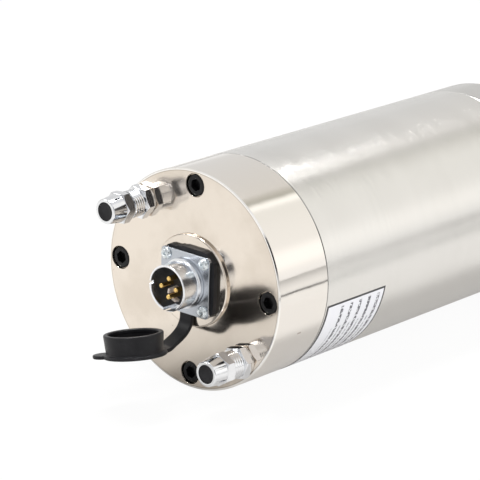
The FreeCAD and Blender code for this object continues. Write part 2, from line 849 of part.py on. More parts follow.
def hose_nut(fitting):
    """Cap nut of a hose fitting: hexagon at the back, tapered nose in front."""
    y, z = polar(port_circle_r, fitting["angle"])
    front = fitting["nut_front"]
    back = front + hose_nut_length
    hex_front = back - hose_nut_hex
    full = hose_nut_flats / 2
    blank = hexagon(hex_front, back, hose_nut_flats, fitting["nut_turn"])
    lathe = turned([(hex_front, 0), (hex_front, full), (hex_front + 0.7, full + 0.9),
                    (back - 0.5, full + 0.9), (back, full + 0.3), (back, 0)])
    nose = turned([(hex_front, 0), (hex_front, full - 0.05, 0.4),
                   (front, hose_nut_nose_r, 0.7), (front, 0)])
    inner_r = fitting_thread_r + thread_gap
    cone_end = front + hose_hole_depth + hose_nut_cone
    bore = turned([(front, 0), (front, hose_hole_r), (front + hose_hole_depth, hose_hole_r),
                   (cone_end, inner_r), (back, inner_r), (back, 0)])
    body = blank.common(lathe).fuse(nose).cut(bore)
    body.translate(Vector(0, y, z))
    return body


def hose_plug(fitting):
    """Rubber blanking plug: fills the nut's hole and sleeves the nipple."""
    y, z = polar(port_circle_r, fitting["angle"])
    front = fitting["nut_front"] + 0.1
    shoulder = fitting["nut_front"] + hose_hole_depth
    cone_end = shoulder + hose_nut_cone
    rear = cone_end + plug_flange
    small = hose_hole_r - thread_gap
    large = fitting_thread_r - 2 * thread_gap
    sleeve = fitting_nipple_r + soft_gap
    body = turned([
        (front, 0), (front, small, 0.3), (shoulder - 0.1, small), (cone_end + 0.1, large),
        (rear, large), (rear, sleeve), (front + plug_bore_stop, sleeve),
        (front + plug_bore_stop, 0),
    ])
    body.translate(Vector(0, y, z))
    return body


def connector_shell():
    """Square flange with a round shell; a wide keyway opens its mouth at the bottom."""
    plate = square(flange_side, flange_round, x_flange, x_flange_rear)
    barrel = turned([
        (x_shell_mouth, 0), (x_shell_mouth, shell_r, 0.25),
        (x_flange - shell_collar, shell_r), (x_flange - shell_collar, shell_collar_r, 0.4),
        (x_flange, shell_collar_r), (x_flange_rear, shell_r),
        (x_rear + shell_tail, shell_r), (x_rear + shell_tail, 0),
    ])
    bore = rod(x_shell_mouth, x_rear + shell_tail, shell_bore_r)
    key = Part.makeBox(insert_depth, key_width, key_depth + 1,
                       Vector(x_shell_mouth, -key_width / 2, -shell_bore_r - key_depth))
    holes = [rod(x_flange, x_flange_rear, connector_screw_d / 2 + 0.15, a, b)
             for a, b in connector_corners()]
    return plate.fuse(barrel).cut([bore, key] + holes)


def connector_insert():
    body = rod(x_insert, x_rear + shell_tail, shell_bore_r - seat_gap)
    y, z = polar(pin_circle_r, 0)
    hole = rod(x_insert, x_rear + shell_tail, pin_r + seat_gap, y, z)
    return body.cut(round_about(hole, 4))


def connector_pins():
    x_tip = x_shell_mouth + pin_setback
    x_end = x_rear + shell_tail + pin_tail
    pin = turned([(x_tip, 0), (x_tip, pin_r, 0.5), (x_end, pin_r), (x_end, 0)])
    cup = rod(x_end - 1.8, x_end, pin_r - 0.3)
    pin = pin.cut(cup)
    pin.translate(Vector(0, pin_circle_r, 0))
    return Part.Compound(round_about(pin, 4))


def connector_screws():
    """Pan head screws with a cross recess."""
    x_top = x_flange - connector_head_h
    x_end = x_rear - pad_h + connector_screw_grip
    screw = turned([
        (x_top, 0), (x_top, connector_head_d / 2, 1.2), (x_flange, connector_head_d / 2),
        (x_flange, connector_screw_d / 2), (x_end, connector_screw_d / 2), (x_end, 0),
    ])
    cross = []
    for long, wide in ((2.8, 0.6), (0.6, 2.8)):
        cross.append(Part.makeBox(1.0, long, wide, Vector(x_top, -long / 2, -wide / 2)))
    screw = screw.cut(cross)
    screws = []
    for a, b in connector_corners():
        copy = screw.copy()
        copy.translate(Vector(0, a, b))
        screws.append(copy)
    return Part.Compound(screws)


def strap_route():
    """Ends of the strap's first run, as (x, z), and the point where it bends."""
    x_root = x_rear - pad_h - strap_thickness / 2 - 0.1
    z_root = -gasket_side / 2 + 1.0
    z_corner = z_root - strap_drop
    pivot = (x_root - strap_run, z_corner - strap_fall)
    return (x_root, z_root), (x_root, z_corner), pivot


def bar(points, width, thickness, y_middle):
    """Flat strip along straight runs in the XZ plane; a third number rounds a corner."""
    low = []
    high = []
    for i, point in enumerate(points):
        here = Vector(point[0], 0, point[1])
        before = Vector(points[max(i - 1, 0)][0], 0, points[max(i - 1, 0)][1])
        after = Vector(points[min(i + 1, len(points) - 1)][0], 0, points[min(i + 1, len(points) - 1)][1])
        run_in = (here - before) if i > 0 else (after - here)
        run_out = (after - here) if i < len(points) - 1 else (here - before)
        run_in.normalize()
        run_out.normalize()
        side_in = Vector(run_in.z, 0, -run_in.x)
        side_out = Vector(run_out.z, 0, -run_out.x)
        mitre = (side_in + side_out).normalize()
        half = thickness / 2 / mitre.dot(side_in)
        turn = run_in.cross(run_out).y
        for row, sign in ((low, -1), (high, 1)):
            place = here + mitre * (sign * half)
            if len(point) == 3:
                bulge = point[2] + (thickness / 2 if turn * sign > 0 else -thickness / 2)
                row.append((place.x, place.z, bulge))
            else:
                row.append((place.x, place.z))
    wire = outline(low + high[::-1], lambda x, z: Vector(x, y_middle - width / 2, z))
    return Part.Face(wire).extrude(Vector(0, width, 0))


def connector_gasket():
    """Rubber gasket with the fixed half of the strap, one moulding."""
    x_low = x_rear - pad_h - gasket_thickness
    x_high = x_rear - pad_h
    plate = square(gasket_side, gasket_round, x_low, x_high)
    root, corner, pivot = strap_route()
    strip = bar([root, corner + (strap_bend_r,), pivot], strap_width, strap_thickness, strap_y)
    knuckle = Part.makeCylinder(strap_thickness / 2, strap_width,
                                Vector(pivot[0], strap_y - strap_width / 2, pivot[1]), Vector(0, 1, 0))
    holes = [rod(x_low, x_high, connector_screw_d / 2 + 0.2, a, b) for a, b in connector_corners()]
    holes.append(rod(x_low, x_high, shell_r + slide_gap))
    return plate.fuse([strip, knuckle]).cut(holes)


def dust_cap():
    """Rubber cup with brim and pull tab, and the free half of the strap."""
    root, corner, pivot = strap_route()
    x_centre = x_rear + cap_centre_x
    cup = Part.Face(outline([
        (0, 0), (cup_base_r, 0), (cup_mouth_r, cup_height, 0.5), (cup_bore_r, cup_height, 0.5),
        (cup_bore_r, cup_floor, 0.8), (0, cup_floor),
    ], lambda r, h: Vector(r, 0, h))).revolve(Vector(0, 0, 0), Vector(0, 0, 1), 360)
    brim = Part.Face(outline([
        (0, 0), (brim_r, 0, 0.6), (brim_r, brim_thickness, 0.6), (0, brim_thickness),
    ], lambda r, h: Vector(r, 0, h))).revolve(Vector(0, 0, 0), Vector(0, 0, 1), 360)
    tab = Part.makeBox(tab_reach - tab_width / 2, tab_width, brim_thickness,
                       Vector(0, -tab_width / 2, 0))
    tip = Part.makeCylinder(tab_width / 2, brim_thickness,
                            Vector(tab_reach - tab_width / 2, 0, 0))
    tongue = tab.fuse(tip)
    tongue.rotate(Vector(0, 0, 0), Vector(0, 0, 1), tab_angle)
    hollow = Part.makeCylinder(cup_bore_r, cup_height, Vector(0, 0, cup_floor))
    cap = cup.fuse([brim, tongue.cut(hollow)])
    cap.translate(Vector(0, 0, -cup_height))
    cap.rotate(Vector(0, 0, 0), Vector(1, 0, 0), -cap_tilt)
    cap.rotate(Vector(0, 0, 0), Vector(0, 1, 0), cap_lean)
    cap.translate(Vector(x_centre, cap_centre_y, cap_mouth_z))
    lean = math.radians(cap_lean)
    depth = (cup_height - brim_thickness / 2) * math.cos(math.radians(cap_tilt))
    reach = brim_r - 2.0
    joint = (x_centre - depth * math.sin(lean) + reach * math.cos(lean),
             cap_mouth_z - depth * math.cos(lean) - reach * math.sin(lean))
    low = (pivot[0] - cap_strap_run, pivot[1] - cap_strap_fall, cap_strap_bend_r)
    strip = bar([pivot, low, joint],
                strap_width, strap_thickness, strap_y)
    knuckle = Part.makeCylinder(strap_thickness / 2 + soft_gap, strap_width + 2,
                                Vector(pivot[0], strap_y - strap_width / 2 - 1, pivot[1]),
                                Vector(0, 1, 0))
    return cap.fuse(strip.cut(knuckle))


def lead():
    """One lead, from its pin across the cavity and through the bearing housing."""
    x_start = x_rear + shell_tail + pin_tail
    x_across = x_start + lead_bend_r
    x_end = x_stator - stator_length / 2 - winding_overhang
    a = Vector(x_start, pin_circle_r, 0)
    b = Vector(x_across, pin_circle_r + lead_bend_r, 0)
    c = Vector(x_across, lead_circle_r - lead_bend_r, 0)
    d = Vector(x_across + lead_bend_r, lead_circle_r, 0)
    e = Vector(x_end, lead_circle_r, 0)
    half = lead_bend_r * (1 - math.sqrt(0.5))
    first = Part.Arc(a, Vector(x_across - half, pin_circle_r + half, 0), b)
    second = Part.Arc(c, Vector(x_across + half, lead_circle_r - half, 0), d)
    path = Part.Wire([first.toShape(), Part.LineSegment(b, c).toShape(),
                      second.toShape(), Part.LineSegment(d, e).toShape()])
    start = Part.Wire([Part.Circle(a, Vector(1, 0, 0), lead_r).toShape()])
    return path.makePipeShell([start], True, False)


def motor_leads():
    return Part.Compound(round_about(lead(), 4))


def save(name, shape):
    shape.exportStep(os.path.join("parts", name + ".step"))


def save_bearings():
    front = (front_width, front_bore_r, front_outer_r, front_ball_d, front_balls)
    rear = (rear_width, rear_bore_r, rear_outer_r, rear_ball_d, rear_balls)
    places = [
        ("front_1", x_front_1 - front_width, front, 1),
        ("front_2", x_front_2 - front_width, front, -1),
        ("rear_1", x_rear_1, rear, 1),
        ("rear_2", x_rear_2, rear, -1),
    ]
    for name, x_low, sizes, thrust_side in places:
        pieces = bearing(x_low, *sizes, thrust_side)
        save(name + "_outer_ring", pieces["outer"])
        save(name + "_inner_ring", pieces["inner"])
        save(name + "_cage", pieces["cage"])
        save(name + "_balls", pieces["balls"])


def save_all():
    save("rear_cover", rear_cover())
    save("body_tube", body_tube())
    save("water_jacket", water_jacket())
    save("jacket_o_rings", o_rings())
    save("port_seals", port_seals())
    save("front_cover", front_cover())
    save("bearing_cap", bearing_cap())
    save("bearing_cap_screws", bearing_cap_screws())
    save("rear_cover_screws", cover_screws(x_rear, 1, rear_screw_length))
    save("front_cover_screws", cover_screws(x_front, -1, front_screw_length))
    save("stator_core", stator_core())
    save("stator_winding", stator_winding())
    save("motor_leads", motor_leads())
    save("rotor_core", rotor_core())
    save("rotor_cage", rotor_cage())
    save("shaft", shaft())
    save_bearings()
    x_spacer = x_front_2 + spacer_width
    save("outer_spacer", ring(x_front_2, x_spacer, front_outer_r - 3, front_outer_r - seat_gap))
    save("inner_spacer", ring(x_front_2, x_spacer, front_bore_r + seat_gap, front_bore_r + 3))
    save("front_lock_nut", lock_nut(x_front_floor - front_lock_width, front_lock_width,
                                    front_bore_r - 0.3 + seat_gap, front_lock_r))
    save("rear_lock_nut", lock_nut(x_rear_2 - rear_lock_width, rear_lock_width,
                                   rear_bore_r - 0.3 + seat_gap, rear_lock_r))
    save("wave_spring", wave_spring())
    save("rear_bearing_housing", rear_bearing_housing())
    save("dust_ring", dust_ring())
    save("collet", collet())
    save("collet_nut", collet_nut())
    for name, fitting in fittings.items():
        save(name + "_hose_fitting", hose_fitting(fitting))
        save(name + "_hose_nut", hose_nut(fitting))
        save(name + "_hose_plug", hose_plug(fitting))
    save("connector_shell", connector_shell())
    save("connector_insert", connector_insert())
    save("connector_pins", connector_pins())
    save("connector_screws", connector_screws())
    save("connector_gasket", connector_gasket())
    save("dust_cap", dust_cap())


save_all()
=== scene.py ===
import math

import bmesh
import bpy
from mathutils import Matrix, Vector


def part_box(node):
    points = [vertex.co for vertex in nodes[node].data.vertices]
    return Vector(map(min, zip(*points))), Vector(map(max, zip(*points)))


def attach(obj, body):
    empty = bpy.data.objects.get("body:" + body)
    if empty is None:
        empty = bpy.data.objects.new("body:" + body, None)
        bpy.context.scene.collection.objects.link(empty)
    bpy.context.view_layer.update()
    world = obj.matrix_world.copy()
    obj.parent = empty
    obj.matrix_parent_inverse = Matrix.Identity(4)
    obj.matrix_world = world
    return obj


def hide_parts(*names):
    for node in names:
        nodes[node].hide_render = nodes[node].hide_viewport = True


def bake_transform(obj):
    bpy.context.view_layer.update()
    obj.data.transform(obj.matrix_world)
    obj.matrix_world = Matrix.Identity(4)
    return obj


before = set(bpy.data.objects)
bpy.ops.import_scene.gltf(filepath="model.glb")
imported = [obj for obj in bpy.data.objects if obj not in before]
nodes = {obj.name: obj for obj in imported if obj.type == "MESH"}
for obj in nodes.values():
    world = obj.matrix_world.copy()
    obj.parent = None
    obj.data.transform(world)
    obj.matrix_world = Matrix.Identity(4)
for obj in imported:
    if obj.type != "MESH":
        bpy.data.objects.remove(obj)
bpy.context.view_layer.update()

# The camera stands behind the tail, to its right and a little above, with a long lens. Its place was
# worked out from the rims of the rear cover and the four screws in it.
bpy.context.scene.view_settings.view_transform = "Standard"
camera = bpy.data.objects.new("camera", bpy.data.cameras.new("camera"))
bpy.context.scene.collection.objects.link(camera)
camera.data.lens = 200.5
camera.data.sensor_width = 36.0
camera.data.clip_end = 20.0
right = Vector((0.65700, -0.75328, 0.03039))
up = Vector((0.21453, 0.22545, 0.95034))
back = Vector((-0.72272, -0.61786, 0.30973))
turn = Matrix((right, up, back)).transposed().to_4x4()
camera.matrix_world = Matrix.Translation((-1.08067, -0.73158, 0.37804)) @ turn
bpy.context.scene.camera = camera

# Table and tent: the spindle lies on a white cloth in a photographer's tent. The cloth ends 0.2 m to its
# right, and along its edge a painted shadow shows in the metal as a thin dark line. The tent is dark round
# the camera.
cloth_edge = (-0.230, -0.208)
table_level = -0.0502


class Shade:
    """A socket in a node tree. Plain sums on it add the Math nodes that they need."""

    def __init__(self, tree, socket=None):
        self.tree = tree
        self.socket = socket

    def node(self, kind, settings=None, inputs=None, output=0):
        """Adds a node of this kind, with its settings and inputs, and gives one of its outputs."""
        made = self.tree.nodes.new(kind)
        for name, value in (settings or {}).items():
            if name == "stops":
                ramp = made.color_ramp
                while len(ramp.elements) < len(value):
                    ramp.elements.new(0.5)
                for element, (place, colour) in zip(ramp.elements, value):
                    element.position = place
                    element.color = (*colour, 1.0)
            else:
                setattr(made, name, value)
        for name, value in (inputs or {}).items():
            if isinstance(value, Shade):
                self.tree.links.new(value.socket, made.inputs[name])
            else:
                made.inputs[name].default_value = value
        return Shade(self.tree, made.outputs[output]) if made.outputs else None

    def maths(self, operation, a, b=0.0):
        """Any Math node that has no sign of its own."""
        return self.node("ShaderNodeMath", {"operation": operation}, {0: a, 1: b})

    def __add__(self, other):
        return self.maths("ADD", self, other)

    def __sub__(self, other):
        return self.maths("SUBTRACT", self, other)

    def __mul__(self, other):
        return self.maths("MULTIPLY", self, other)

    def __rsub__(self, other):
        return self.maths("SUBTRACT", other, self)

    __radd__ = __add__
    __rmul__ = __mul__

    def between(self, low, high):
        """0 below low, 1 above high, and a smooth step between them."""
        settings = {"interpolation_type": "SMOOTHSTEP"}
        return self.node("ShaderNodeMapRange", settings, {0: self, 1: low, 2: high})

    def band(self, low, high, edge):
        """1 from low to high, and 0 outside."""
        return self.between(low - edge, low + edge) * (1 - self.between(high - edge, high + edge))

    def mix(self, factor, a, b):
        """Colour a where factor is 0 and colour b where it is 1."""
        return self.node("ShaderNodeMix", {"data_type": "RGBA"}, {0: factor, 6: a, 7: b}, 2)

    def place(self):
        """The point on the object, and its x, y and z."""
        point = self.node("ShaderNodeTexCoord", output="Object")
        parts = [self.node("ShaderNodeSeparateXYZ", inputs={0: point}, output=k) for k in (0, 1, 2)]
        return (point, *parts)

    def point(self, x, y, z):
        """A point made of three values."""
        return self.node("ShaderNodeCombineXYZ", inputs={0: x, 1: y, 2: z})

    def from_axis(self, y, z):
        """How far a point is from the spindle's axis."""
        return self.node("ShaderNodeVectorMath", {"operation": "LENGTH"}, {0: self.point(0.0, y, z)}, 1)

    def noise(self, point, scale, detail=2.0, roughness=0.5):
        """An uneven pattern from 0 to 1, finer as the scale grows."""
        return self.node("ShaderNodeTexNoise", inputs={
            "Vector": point, "Scale": scale, "Detail": detail, "Roughness": roughness})


bpy.ops.object.select_all(action="DESELECT")
bpy.ops.mesh.primitive_circle_add(vertices=96, radius=2.4, fill_type="NGON",
                                  location=(-0.15, 0, table_level))
table_top = bpy.context.object
table_top.name = "table_top"
paper = bpy.data.materials.new("white_table")
paper.use_nodes = True
sheet = Shade(paper.node_tree)
paper.node_tree.nodes.clear()
_, _, side, _ = sheet.place()
in_camera = sheet.node("ShaderNodeLightPath", output="Is Camera Ray")
in_metal = (sheet.node("ShaderNodeLightPath", output="Is Glossy Ray")
            + sheet.node("ShaderNodeLightPath", output="Is Transmission Ray"))
# Painted shadow: a thin dark line along the cloth's edge, seen only in the metal.
edge_shadow_line = side.band(*cloth_edge, 0.005) * (1 - in_camera)
# Painted shade: seen in the metal, the cloth grows darker past its edge on the right and towards the left.
beyond_edge = 1 - side.between(-0.50, -0.22)
cloth = sheet.mix(beyond_edge, (0.95, 0.93, 0.91, 1), (0.84, 0.835, 0.82, 1))
cloth = sheet.mix(side.between(0.02, 0.22), cloth, (0.84, 0.83, 0.81, 1))
seen_in_metal = sheet.mix(edge_shadow_line, cloth, (0.03, 0.03, 0.03, 1))
seen = sheet.mix(in_camera, seen_in_metal, (1, 1, 1, 1))
# Painted shade: in the metal the cloth's lit colour is darker, and darker still just left of the spindle,
# as its shadow.
lit = sheet.mix(in_metal, (0.86, 0.85, 0.83, 1), (0.58, 0.575, 0.565, 1))
lit = sheet.mix(side.band(0.0, 0.06, 0.015) * in_metal, lit, (0.44, 0.435, 0.425, 1))
lit = sheet.mix(edge_shadow_line, lit, (0.05, 0.05, 0.05, 1))
plain = sheet.node("ShaderNodeBsdfDiffuse", inputs={"Color": lit})
white = sheet.node("ShaderNodeEmission", inputs={"Color": seen, "Strength": 1.0})
# Painted light and shade: the glow seen in the metal is low under the spindle, higher to its left, and
# highest along its right.
glow_in_metal = 0.08 + side.between(0.03, 0.12) * 0.14 + side.band(-0.14, -0.01, 0.02) * 0.35
glow = in_camera * 0.95 + in_metal * glow_in_metal
shown = sheet.node("ShaderNodeMixShader", inputs={0: glow, 1: plain, 2: white})
sheet.node("ShaderNodeOutputMaterial", inputs={"Surface": shown})
table_top.data.materials.append(paper)

# The tent is white cloth all round. Its wall is given by its brightness at each point once round.
world = bpy.data.worlds.new("tent")
bpy.context.scene.world = world
world.use_nodes = True
world.node_tree.nodes.clear()
tent = Shade(world.node_tree)
direction = tent.node("ShaderNodeTexCoord", output="Generated")
ahead, aside, height = (
    tent.node("ShaderNodeSeparateXYZ", inputs={0: direction}, output=k) for k in (0, 1, 2))
round_about = tent.maths("ARCTAN2", aside, ahead) * (0.5 / math.pi) + 0.5
walls = tent.node("ShaderNodeValToRGB", {"stops": [
    (0.0, (0.50, 0.50, 0.51)), (0.07, (0.90, 0.90, 0.91)), (0.185, (0.95, 0.95, 0.95)),
    (0.375, (1.04, 1.02, 0.99)), (0.445, (0.95, 0.94, 0.90)), (0.455, (0.98, 0.97, 0.93)),
    (0.463, (1.25, 1.24, 1.20)), (0.470, (1.20, 1.19, 1.14)), (0.480, (0.50, 0.49, 0.44)),
    (0.492, (0.62, 0.60, 0.55)), (0.505, (0.76, 0.74, 0.71)), (0.63, (0.76, 0.76, 0.76)),
    (0.80, (0.80, 0.79, 0.77)), (0.92, (0.45, 0.45, 0.46))]}, {0: round_about})
camera_side = round_about.band(0.088, 0.17, 0.006) * (1 - height.between(0.50, 0.54))
walls = tent.mix(camera_side, walls, (0.045, 0.045, 0.05, 1))
near_table = tent.mix(0.5, walls, (1.05, 1.05, 1.05, 1))
low_glow = tent.mix(1 - height.between(0.0, 0.16), walls, near_table)
window = height.band(0.09, 0.30, 0.07) * round_about.band(0.32, 0.43, 0.03)
low_glow = tent.mix(window * 0.4, low_glow, (1.5, 1.48, 1.44, 1))
roof = tent.mix(height.between(0.70, 0.78), low_glow, (0.80, 0.80, 0.80, 1))
inside = tent.mix(height.between(-0.12, -0.02), (0.30, 0.30, 0.30, 1), roof)
in_view = tent.node("ShaderNodeLightPath", output="Is Camera Ray")
tent_colour = tent.mix(in_view, inside, (1, 1, 1, 1))
back_light = tent.node("ShaderNodeBackground", inputs={"Color": tent_colour, "Strength": 1.0})
tent.node("ShaderNodeOutputWorld", inputs={"Surface": back_light})

# Two long lamps hang over the spindle, and a square one stands to its left.
for name, spot, aim, size, power in (
        ("lamp_above", (-0.10, 0.17, 0.95), (-0.14, 0, 0), (0.9, 0.12), 11.5),
        ("lamp_front", (0.26, 0.30, 0.95), (-0.10, 0, 0), (0.9, 0.16), 1.1),
        ("lamp_left", (-1.0, 0.9, 0.7), (-0.2, 0, 0), (0.5, 0.5), 3.0)):
    lamp = bpy.data.objects.new(name, bpy.data.lights.new(name, "AREA"))
    bpy.context.scene.collection.objects.link(lamp)
    lamp.data.shape = "RECTANGLE"
    lamp.data.size, lamp.data.size_y = size
    lamp.data.energy = power
    lamp.location = spot
    lamp.rotation_euler = (Vector(aim) - Vector(spot)).to_track_quat("-Z", "Y").to_euler()


# Shaft, lock nuts and spacer: alloy steel, hardened and ground. The turned faces carry fine rings, and
# the nose has the collet nut's thread, 25 mm across with a 1.5 mm pitch.
nose_pitch = 0.0015
nose_thread = (-0.0243, -0.0080)
nose_radius = (0.01235, 0.01265)


def finish(name, colour, **sockets):
    """New material with one Principled shader, and its tree to build on."""
    material = bpy.data.materials.new(name)
    material.use_nodes = True
    tree = material.node_tree
    shader = tree.nodes["Principled BSDF"]
    shader.inputs["Base Color"].default_value = (*colour, 1.0)
    for key, value in sockets.items():
        shader.inputs[key.replace("_", " ")].default_value = value
    return material, Shade(tree), shader


def feed(shade, shader, bump=None, height=0.0001, **links):
    """Joins worked-out values to the shader's sockets, and a bump to its normal."""
    for key, value in links.items():
        shade.tree.links.new(value.socket, shader.inputs[key.replace("_", " ")])
    if bump is not None:
        normal = shade.node("ShaderNodeBump", inputs={"Height": bump, "Distance": height})
        shade.tree.links.new(normal.socket, shader.inputs["Normal"])


def dress(material, *names):
    """Gives CAD nodes their material."""
    for name in names:
        slots = nodes[name].data.materials
        slots.clear()
        slots.append(material)


def lathe_rings(shade, x, y, z, fineness=5000.0):
    """Fine turning marks: rings on the faces and lines round the barrels."""
    radius = shade.from_axis(y, z)
    return shade.noise(shade.point(radius * fineness, x * fineness * 0.7, 0.0), 1.0, 2.0, 0.5)


ground, shade, shader = finish("ground_steel", (0.60, 0.60, 0.61), Metallic=1.0, Roughness=0.22)
_, x, y, z = shade.place()
rings = lathe_rings(shade, x, y, z)
threaded = shade.from_axis(y, z).band(*nose_radius, 0.00005) * x.band(*nose_thread, 0.0003)
# The thread is drawn by the bump alone, and its helix is also painted in dark stripes: painted shade.
helix = x * (1 / nose_pitch) + shade.maths("ARCTAN2", z, y) * (0.5 / math.pi)
groove = shade.maths("PINGPONG", helix, 0.5) * 2.0 * threaded
feed(shade, shader, bump=rings * 0.02 + groove, height=0.0006, Roughness=rings * 0.14 + 0.12,
     Base_Color=shade.mix(groove * 0.8, (0.60, 0.60, 0.61, 1), (0.30, 0.30, 0.31, 1)))
dress(ground, "shaft", "front_lock_nut", "rear_lock_nut", "inner_spacer", "outer_spacer")

# Rotor and stator cores: thin steel sheets, stacked and skimmed true. The sheet edges show as fine lines
# across the axis. The rotor's cage is cast round it in aluminium, as bars and end rings.
sheets, shade, shader = finish("stacked_sheets", (0.26, 0.26, 0.27), Metallic=0.9, Roughness=0.42)
point, x, _, _ = shade.place()
leaf = shade.maths("PINGPONG", x * 2000.0, 0.5) * 2.0
varnish = shade.noise(point, 180.0, 3.0, 0.6)
feed(shade, shader, bump=leaf, height=0.00004, Roughness=varnish * 0.25 + 0.3,
     Base_Color=shade.mix(leaf.between(0.5, 1.0), (0.20, 0.19, 0.19, 1), (0.34, 0.34, 0.35, 1)))
dress(sheets, "rotor_core", "stator_core")

cast, shade, shader = finish("cast_aluminium", (0.68, 0.69, 0.70), Metallic=1.0, Roughness=0.42)
point, *_ = shade.place()
grain = shade.noise(point, 700.0, 4.0, 0.6)
feed(shade, shader, bump=grain, height=0.00008, Roughness=grain * 0.25 + 0.3,
     Base_Color=shade.mix(grain, (0.60, 0.61, 0.62, 1), (0.74, 0.75, 0.76, 1)))
dress(cast, "rotor_cage")

# Bearings: ground and honed rings, polished balls, and cages of brown laminated resin. Two face each
# other at the nose with spacers between them, and two stand at the tail on a wave spring.
race, shade, shader = finish("honed_race", (0.66, 0.66, 0.67), Metallic=1.0, Roughness=0.14)
_, x, y, z = shade.place()
rings = lathe_rings(shade, x, y, z, 7000.0)
feed(shade, shader, bump=rings, height=0.000006, Roughness=rings * 0.10 + 0.08,
     Base_Color=shade.mix(rings, (0.62, 0.62, 0.63, 1), (0.70, 0.70, 0.71, 1)))
polished, shade, shader = finish("polished_ball", (0.74, 0.74, 0.75), Metallic=1.0, Roughness=0.06)
point, *_ = shade.place()
film = shade.noise(point, 300.0, 2.0, 0.5)
feed(shade, shader, Roughness=film * 0.08 + 0.03,
     Base_Color=shade.mix(film, (0.70, 0.70, 0.71, 1), (0.78, 0.78, 0.79, 1)))
resin, shade, shader = finish("laminated_resin", (0.34, 0.18, 0.08), Roughness=0.5)
_, x, y, z = shade.place()
weave = shade.noise(shade.point(x * 1500.0, y * 400.0, z * 400.0), 1.0, 4.0, 0.6)
feed(shade, shader, bump=weave, height=0.00005, Roughness=weave * 0.25 + 0.35,
     Base_Color=shade.mix(weave, (0.27, 0.13, 0.05, 1), (0.42, 0.23, 0.11, 1)))
for place in ("front_1", "front_2", "rear_1", "rear_2"):
    dress(race, place + "_outer_ring", place + "_inner_ring")
    dress(polished, place + "_balls")
    dress(resin, place + "_cage")
spring, shade, shader = finish("spring_strip", (0.34, 0.32, 0.30), Metallic=1.0, Roughness=0.3)
point, *_ = shade.place()
temper = shade.noise(point, 150.0, 3.0, 0.6)
feed(shade, shader, bump=temper, height=0.00002, Roughness=temper * 0.2 + 0.2,
     Base_Color=shade.mix(temper, (0.30, 0.28, 0.27, 1), (0.42, 0.38, 0.33, 1)))
dress(spring, "wave_spring")

# Winding and leads: enamelled copper wire, laced in bundles and varnished, with four leads in red
# sleeving that run to the connector's pins.
copper, shade, shader = finish("varnished_copper", (0.52, 0.19, 0.07), Metallic=0.75, Roughness=0.3)
point, x, y, z = shade.place()
angle = shade.maths("ARCTAN2", z, y)
tangle = shade.noise(point, 60.0) * 30.0
strands = shade.noise(shade.point(x * 90.0, angle * 6.0, tangle), 1.0, 5.0, 0.7)
wire = shade.maths("PINGPONG", strands * 30.0, 0.5) * 2.0
# Painted shade and sheen: the gaps between the strands are painted darker and their crowns lighter.
feed(shade, shader, bump=wire, height=0.00025, Roughness=wire * 0.15 + 0.2,
     Base_Color=shade.mix(wire, (0.30, 0.09, 0.03, 1), (0.62, 0.25, 0.10, 1)))
dress(copper, "stator_winding")
sleeving, shade, shader = finish("red_sleeving", (0.50, 0.04, 0.03), Roughness=0.35)
point, *_ = shade.place()
braid = shade.noise(point, 1600.0, 2.0, 0.5)
feed(shade, shader, bump=braid, height=0.00006, Roughness=braid * 0.2 + 0.28,
     Base_Color=shade.mix(braid, (0.42, 0.03, 0.025, 1), (0.58, 0.06, 0.045, 1)))
dress(sleeving, "motor_leads")

# Water jacket and rear bearing housing: turned from aluminium bar. Ring channels in the jacket carry
# the cooling water between the tube and the stator.
bar_stock, shade, shader = finish("turned_aluminium", (0.70, 0.71, 0.72), Metallic=1.0, Roughness=0.28)
_, x, y, z = shade.place()
rings = lathe_rings(shade, x, y, z, 2600.0)
feed(shade, shader, bump=rings, height=0.00004, Roughness=rings * 0.2 + 0.18,
     Base_Color=shade.mix(rings, (0.66, 0.67, 0.68, 1), (0.76, 0.77, 0.78, 1)))
dress(bar_stock, "water_jacket", "rear_bearing_housing")

# Front cover, bearing cap and dust ring: turned stainless steel with a satin face. The collet is ground
# spring steel, and its nut is turned from hexagon bar.
satin, shade, shader = finish("satin_steel", (0.60, 0.595, 0.58), Metallic=1.0, Roughness=0.26)
point, x, y, z = shade.place()
rings = lathe_rings(shade, x, y, z, 4200.0)
cloud = shade.noise(point, 40.0, 3.0, 0.6)
feed(shade, shader, bump=rings, height=0.00002, Roughness=rings * 0.12 + cloud * 0.1 + 0.14,
     Base_Color=shade.mix(cloud, (0.58, 0.57, 0.55, 1), (0.68, 0.67, 0.65, 1)))
dress(satin, "front_cover", "bearing_cap", "dust_ring", "collet_nut")
dress(race, "collet")

# Body tube: stainless steel, brushed round and round, with fine lines that run across the axis. It is
# gripped by the machine's clamp, so it carries no screws or feet.
joint = (-0.2240, -0.2234)
brushed, shade, shader = finish("brushed_tube", (0.63, 0.62, 0.60), Metallic=1.0, Roughness=0.25)
point, x, y, z = shade.place()
lines = shade.noise(shade.point(x * 2600.0, y * 14.0, z * 14.0), 1.0, 4.0, 0.7)
bands = shade.noise(shade.point(x * 60.0, y * 4.0, z * 4.0), 1.0, 3.0, 0.6)
cloud = shade.noise(point, 22.0, 4.0, 0.6)
streaks = lines * 0.45 + bands * 0.25 + cloud * 0.3
tone = shade.mix(streaks, (0.70, 0.685, 0.655, 1), (0.86, 0.845, 0.82, 1))
tone = shade.mix(x.band(*joint, 0.00008) * 0.75, tone, (0.16, 0.155, 0.15, 1))
feed(shade, shader, bump=lines, height=0.00007, Base_Color=tone,
     Roughness=bands * 0.10 + cloud * 0.08 + 0.10)
dress(brushed, "body_tube")

